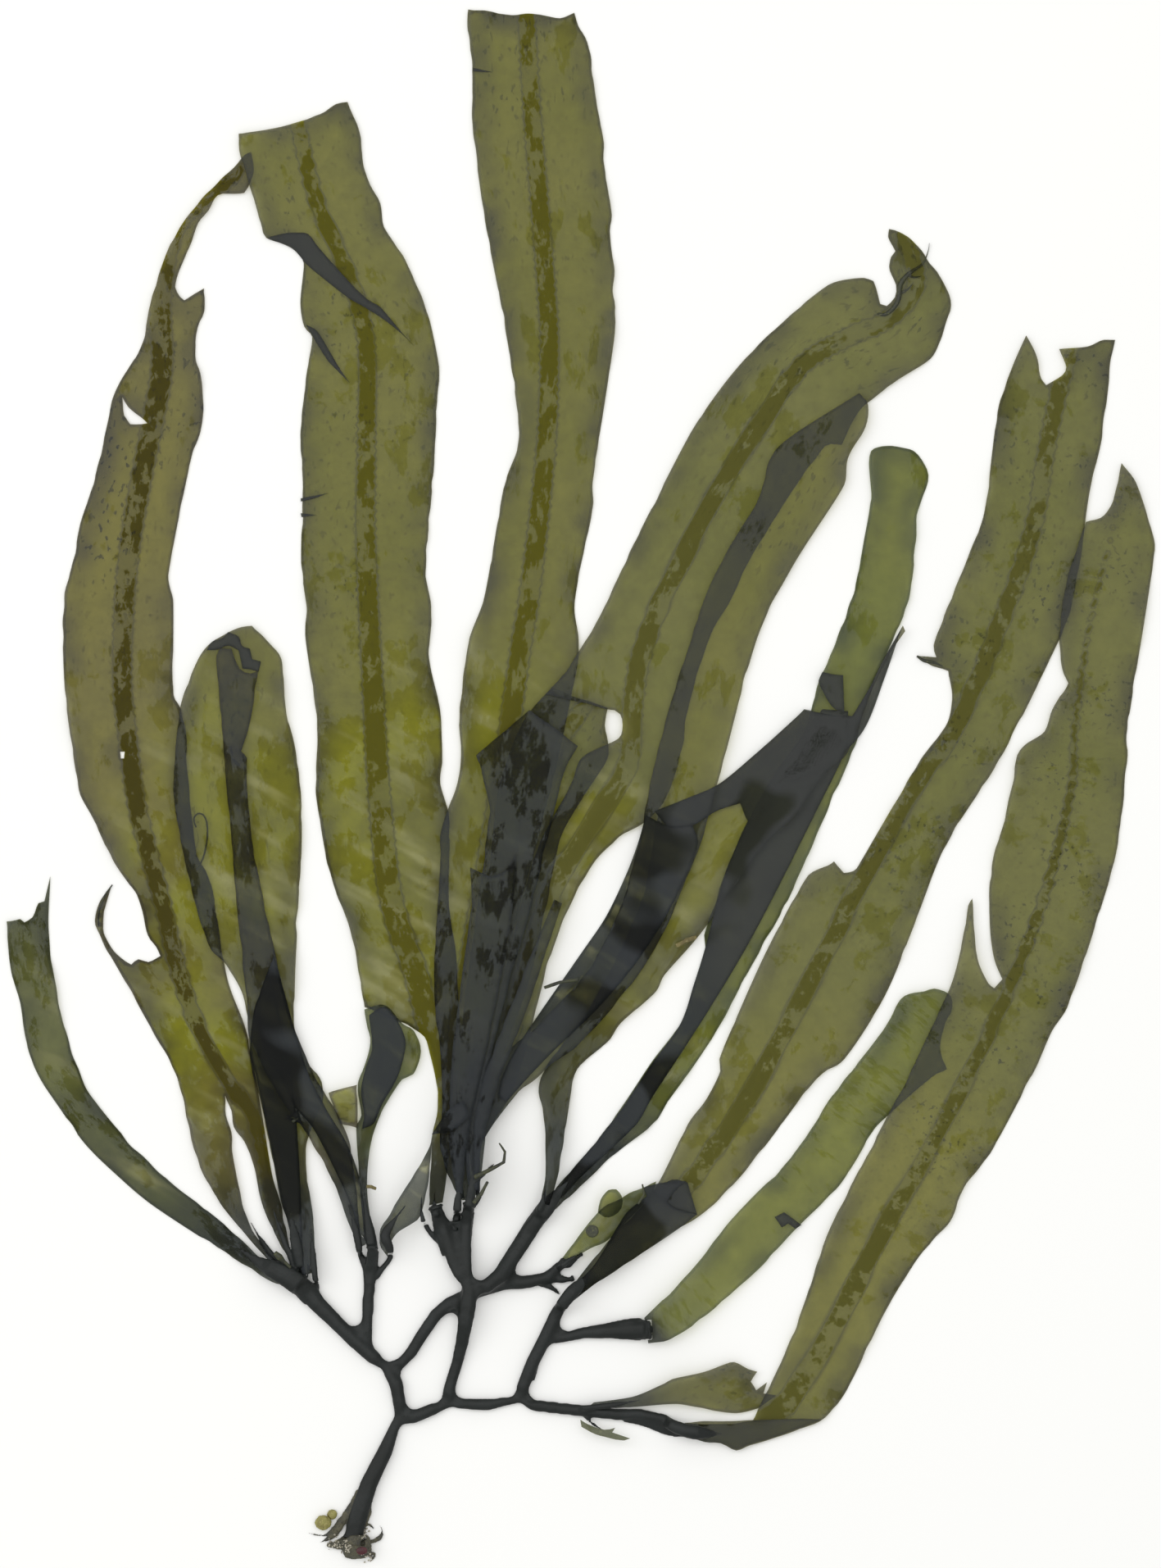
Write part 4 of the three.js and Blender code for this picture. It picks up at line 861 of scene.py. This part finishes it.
    # The wet skin: dark slate where water holds it down, and greyer where air lies behind it.
    held = add("Mix", {0: wet, 6: linear(held_dry), 7: linear(HELD_WET)}, out=2, data_type="RGBA")
    loose = add("Mix", {0: wet, 6: linear(AIR_DRY), 7: linear(AIR_WET)}, out=2, data_type="RGBA")
    sheen = add("Mix", {0: contact, 6: loose, 7: held}, out=2, data_type="RGBA")
    sheen = add("Mix", {0: solid_rib, 6: sheen, 7: linear(RIB_SKIN)}, out=2, data_type="RGBA")
    wrinkle = add("TexNoise", {"Vector": mm, "Scale": 1 / 2.5, "Detail": 5.0})
    bump = add("Bump", {"Height": wrinkle, "Strength": 0.35, "Distance": 0.25 * MM})
    skin_shader = add("BsdfPrincipled", {"Base Color": sheen, "Roughness": 0.36, "IOR": WATER_IOR,
                                         "Normal": bump})
    add("OutputMaterial", {"Surface": add("MixShader", {0: cover, 1: passing, 2: skin_shader})})
    return material


def growth(name, colours, patch_mm, roughness, bump_mm, ior=1.42):
    """Opaque growth, such as a stipe: two colours in patches, finer specks of a third, fine relief."""
    material, add = blank(name)
    mm = in_millimetres(add)
    patch = patches(add, mm, patch_mm, 0.4, 0.62, 5, 0.65)
    specks = patches(add, mm, 1 / 2.2, 0.6, 0.7, 2, most=0.8)
    colour = linear(colours[0])
    for mask, other in ((patch, colours[1]), (specks, colours[2])):
        colour = add("Mix", {0: mask, 6: colour, 7: linear(other)}, out=2, data_type="RGBA")
    relief = add("TexNoise", {"Vector": mm, "Scale": 1.1, "Detail": 7.0})
    bump = add("Bump", {"Height": relief, "Strength": 0.5, "Distance": bump_mm * MM})
    surface = add("BsdfPrincipled", {"Base Color": colour, "Roughness": roughness, "IOR": ior,
                                     "Normal": bump})
    add("OutputMaterial", {"Surface": surface})
    return material


# Each tissue's fifth colour is the margin's painted shade, and also the colour of the rib's lines.
TISSUES = {
    "olive": kelp_tissue("kelp_lamina_olive", "#7f7d22", "#86832c", "#6b6706", "#504d2c", "#1b1d14",
                         flecked=0.6),
    "sage": kelp_tissue("kelp_lamina_sage", "#7c7c28", "#838234", "#6c6a26", "#504d2c", "#1b1d14",
                        flecked=0.8),
    "green": kelp_tissue("kelp_lamina_green", "#7e8429", "#868a2c", "#6b680d", "#4c5329", "#1b1d14",
                         "#8f9322", "#8e9236"),
    "brown": kelp_tissue("kelp_lamina_brown", "#847c33", "#8c842e", "#514902", "#4f4930", "#1b1c15",
                         flecked=1.0),
    "dark": kelp_tissue("kelp_lamina_thick", "#777a3a", "#696c32", "#4a470d", "#3c3f24", "#22251a",
                        "#666a22", "#6d712c", "#33361f"),
    "slate": kelp_tissue("kelp_lamina_doubled", "#4f5040", "#434538", "#3a3a26", "#26281f", "#17190f",
                         "#45461c", "#4f5040"),
}
STIPE = growth("kelp_stipe", ("#151917", "#1e2221", "#0e1010"), 7.0, 0.5, 0.1, WATER_IOR)
HOLDFAST = growth("kelp_holdfast", ("#3a3a33", "#55523f", "#221f1c"), 2.4, 0.6, 0.25)
NODULE = growth("encrusting_nodule", ("#8f8a4e", "#77703f", "#aaa069"), 1.6, 0.5, 0.3)
RED_WEED = growth("red_weed", ("#4a1d24", "#33151a", "#5d2a30"), 1.5, 0.45, 0.1)
YOUNG = growth("young_kelp", ("#35381f", "#23261c", "#5d5e30"), 2.5, 0.42, 0.1)
GRIT = growth("shell_sand", ("#b9b3a2", "#8f8a7c", "#e0dccd"), 0.6, 0.55, 0.05, 1.5)
DULL = growth("dull_scrap", ("#7d7448", "#5e5434", "#98906a"), 2.0, 0.7, 0.15)

# ---- Making the frond ----------------------------------------------------------------------------
BLADES = {
    "olive": ["blade_centre_left", "blade_tallest", "blade_left_round", "blade_under_bow",
              "blade_wide_hidden", "blade_short_torn", "blade_short_inner", "blade_sliver",
              "blade_paddle"],
    "sage": ["blade_bowed", "blade_bowed_leg", "blade_right_large", "blade_rightmost"],
    "green": ["blade_green_tall", "blade_green_short", "leaf_young", "leaflet_disc", "blade_curled"],
    "brown": ["blade_left_long", "blade_left_narrow", "flap_cross"],
    "dark": ["blade_far_left", "scrap_low"],
    "slate": ["lobe_small", "blade_bent", "flap_torn", "flap_folded"],
}
SLOTS = {row["node"]: row["material_slot"] for row in frame["record"]["subparts"]}


def grow_blades():
    """Every blade and flap, each from its own solid."""
    for seed, name in enumerate(sorted(CENTRELINES)):
        piece = blade(name, seed * 3.7)
        tissue = next(kind for kind, names in BLADES.items() if name in names)
        show(piece, TISSUES[tissue], SLOTS[name], name)


def grow_folds():
    """The doubled parts; all are slate but the clear one at the foot of the rightmost blade."""
    for seed, (title, outline) in enumerate(FOLDS.items()):
        piece = fold(title, outline, seed * 2.3)
        tissue = "olive" if title == "fold_rightmost_base" else "slate"
        show(piece, TISSUES[tissue], "folded_blade")


# The holdfast's roots, gathered from the stipe's flared end: each is [x, y, width], in millimetres.
ROOTS = [
    [(2, 18, 1.8), (0.2, 15, 1.6), (-1.8, 12.2, 1.5), (-4.3, 8.8, 1.4), (-7.2, 6.9, 1.3),
     (-11, 7.6, 0.9)],
    [(2.6, 17, 2), (0, 13.6, 1.8), (-2.6, 10, 1.9), (-5.4, 6.6, 2.2), (-8.2, 5.2, 1.5)],
    [(3.4, 17, 2.2), (1.8, 13.6, 2.4), (0, 10, 2.7), (-0.8, 6.2, 3), (-2.4, 3, 2.8)],
    [(3.8, 17, 2), (2.4, 12, 2.2), (1, 8, 2.3), (1.4, 4.6, 2.8), (3, 2.6, 2.4), (5.4, 1.1, 1.3)],
    [(4.4, 17, 1.6), (4, 13, 1.5), (3.2, 9.6, 1.5), (2.8, 7, 1.3)],
    [(-1.4, 6.4, 2), (-3.6, 4.6, 2.6), (-6, 5, 1.8)],
    [(1, 5, 2.6), (-0.4, 2.8, 2.2), (1, 1.6, 1.8), (3.4, 1.4, 1.6)],
    [(3.2, 5.2, 1.1), (5.6, 5.6, 1), (7.2, 6.9, 0.8), (7.4, 8.4, 0.7), (6.9, 9.4, 0.5)],
    [(2.6, 9.6, 0.9), (4.3, 9.6, 0.8), (5.4, 8.6, 0.5)],
    [(1.4, 2.8, 1), (3.2, 2.2, 0.9), (5.7, 2.4, 0.8), (5, 0.9, 0.6)],
]
GRIT_PLACES = [(-4.2, 5, 2, 34), (-1.2, 4.4, 1.5, 34), (2.8, 7.4, 1.4, 34), (4.2, 1.8, 1.6, 18)]


def grow_holdfast():
    """The holdfast as a bunch of roots, with shell sand caught on it."""
    piece = skin(["holdfast"], "holdfast_roots", voxel=0.2, swell=-1.1, rough=0.3, seed=4.0,
                 branches=ROOTS)
    show(piece, HOLDFAST, "holdfast", "holdfast", "hapteron_left", "hapteron_right", "hapteron_hook")
    draw = random.Random(11)
    surface = BVHTree.FromPolygons([v.co for v in piece.data.vertices],
                                   [p.vertices for p in piece.data.polygons])
    build = bmesh.new()
    for x, y, reach, count in GRIT_PLACES:
        for _ in range(count):
            place = from_foot(x + draw.gauss(0, reach / 2), y + draw.gauss(0, reach / 2), 50)
            hit = surface.ray_cast(place, Vector((0, 0, -1)))[0]
            size = draw.uniform(0.12, 0.3) * MM
            middle = Vector((place.x, place.y, size * 0.6 if hit is None else hit.z))
            grain = bmesh.ops.create_icosphere(build, subdivisions=1, radius=size)
            for vertex in grain["verts"]:
                vertex.co *= draw.uniform(0.75, 1.2)
                vertex.co += middle
    show(object_from(build, "holdfast_grit"), GRIT, "holdfast")


# Loose threads of torn tissue and a blister's rim, as routes of [x, y, width].
WISPS = {
    "wisp_bowed": [
        [(131.4, 312.4, 0.5), (133, 312.1, 0.9), (135, 313.4, 1.1), (136.6, 316, 1.2), (137, 319.6, 1.3),
         (139.2, 322.4, 1.1), (142.6, 324.8, 0.8), (144, 328, 0.6), (144.3, 330, 0.4)],
        [(136.8, 317.4, 0.6), (138.8, 318.4, 0.5), (140.4, 320.2, 0.3)],
        [(139, 322, 0.6), (140.6, 321.4, 0.5), (142.4, 321.8, 0.3)]],
    "wisp_right_large": [
        [(141.2, 226.8, 0.5), (143, 225.6, 0.8), (145.4, 225.2, 0.9), (147.6, 224.2, 1)]],
    "wisp_left_long": [
        [(-60, 169.6, 0.3), (-62.2, 166.4, 0.5), (-63.4, 162.6, 0.6), (-63.4, 159, 0.9)]],
    "blister_left_round": [
        [(-39, 184, 0.35), (-39.6, 186, 0.35), (-38.6, 187.4, 0.4), (-37, 186.8, 0.4), (-36.2, 184, 0.4),
         (-36.4, 180, 0.45), (-37.4, 176, 0.4), (-39, 173.6, 0.4), (-40, 174.4, 0.35),
         (-39.6, 177.6, 0.35), (-38.4, 180.6, 0.35), (-38.8, 183, 0.35)]],
    "tear_left_round": [
        [(-15, 110.4, 0.8), (-13, 111.6, 0.6), (-11.6, 113, 0.5)],
        [(-16.4, 112, 0.5), (-14.4, 111.2, 0.8), (-12.4, 109.6, 0.5)]],
}


def grow_wisps():
    """Torn threads and the rim of a blister, lying on the finished blades."""
    for title, routes in WISPS.items():
        build = bmesh.new()
        for route in routes:
            tube(build, route)
        piece = object_from(build, title)
        smooth(piece.data)
        show(piece, YOUNG, "folded_blade")


def grow_skins():
    """The stipes in one skin, and each small growth and scrap in its own."""
    stipes = sorted(name for name in nodes if name.startswith("stipe_"))
    piece = skin(stipes, "stipes_skin", STIPE_VOXEL, swell=0.17, fillet=WEB_FILLET, rough=0.05,
                 seed=1.0, branches=BRANCHES)
    show(piece, STIPE, "stipe", *stipes)
    for names, material, rough in (
            (["nodule_large", "nodule_small"], NODULE, 0.25), (["red_weed_scrap"], RED_WEED, 0.15),
            (["bud", "twig_young_upper", "twig_young_lower", "tendril", "strand", "shell_disc"],
             YOUNG, 0.06),
            (["fragment_brown", "fragment_pale"], DULL, 0.12)):
        for name in names:
            piece = skin([name], name + "_skin", voxel=0.14, swell=0.02, rough=rough, seed=7.0)
            show(piece, material, SLOTS[name], name)


# ---- Table, light and camera ---------------------------------------------------------------------
def set_table():
    """A plain white table, a hair below the frond so that no face lies in its plane."""
    bpy.ops.mesh.primitive_plane_add(size=6.0, location=(0, 0, -0.2 * MM))
    table = bpy.context.object
    table.name = "table"
    material, add = blank("white_laminate")
    surface = add("BsdfPrincipled", {"Base Color": linear("#f7f7f5"), "Roughness": 0.6,
                                     "Specular IOR Level": 0.1})
    add("OutputMaterial", {"Surface": surface})
    table.data.materials.append(material)


def set_light():
    """An even white room, with a large softbox above and a weaker one to the left."""
    world = bpy.data.worlds.new("studio")
    bpy.context.scene.world = world
    world.use_nodes = True
    world.node_tree.nodes["Background"].inputs[0].default_value = (1.0, 1.0, 0.99, 1)
    world.node_tree.nodes["Background"].inputs[1].default_value = 0.68
    for label, place, size, watts in (
            ("softbox_above", (0.0, 0.25, 1.9), 1.8, 13.6),
            ("softbox_left", (-1.4, 0.3, 1.3), 1.2, 7.2)):
        lamp = bpy.data.lights.new(label, "AREA")
        lamp.size = size
        lamp.energy = watts
        holder = bpy.data.objects.new(label, lamp)
        holder.location = place
        holder.rotation_euler = (-Vector(place)).to_track_quat("-Z", "Y").to_euler()
        bpy.context.scene.collection.objects.link(holder)


VIEW_MIDDLE = (57.07, 194.8)     # what the camera looks straight down on, in millimetres from the foot
VIEW_HEIGHT = 392.0              # the length of table that fills the frame's long side
LENS = 160.0
SENSOR = 36.0


def set_camera():
    """A long lens that looks straight down."""
    lens = bpy.data.cameras.new("overhead")
    lens.lens = LENS
    lens.sensor_width = SENSOR
    camera = bpy.data.objects.new("overhead", lens)
    camera.location = from_foot(*VIEW_MIDDLE, VIEW_HEIGHT * LENS / SENSOR)
    bpy.context.scene.collection.objects.link(camera)
    bpy.context.scene.camera = camera


set_camera()
grow_blades()
grow_folds()
grow_skins()
grow_holdfast()
grow_wisps()
set_table()
set_light()
bpy.context.scene.view_settings.view_transform = "Standard"
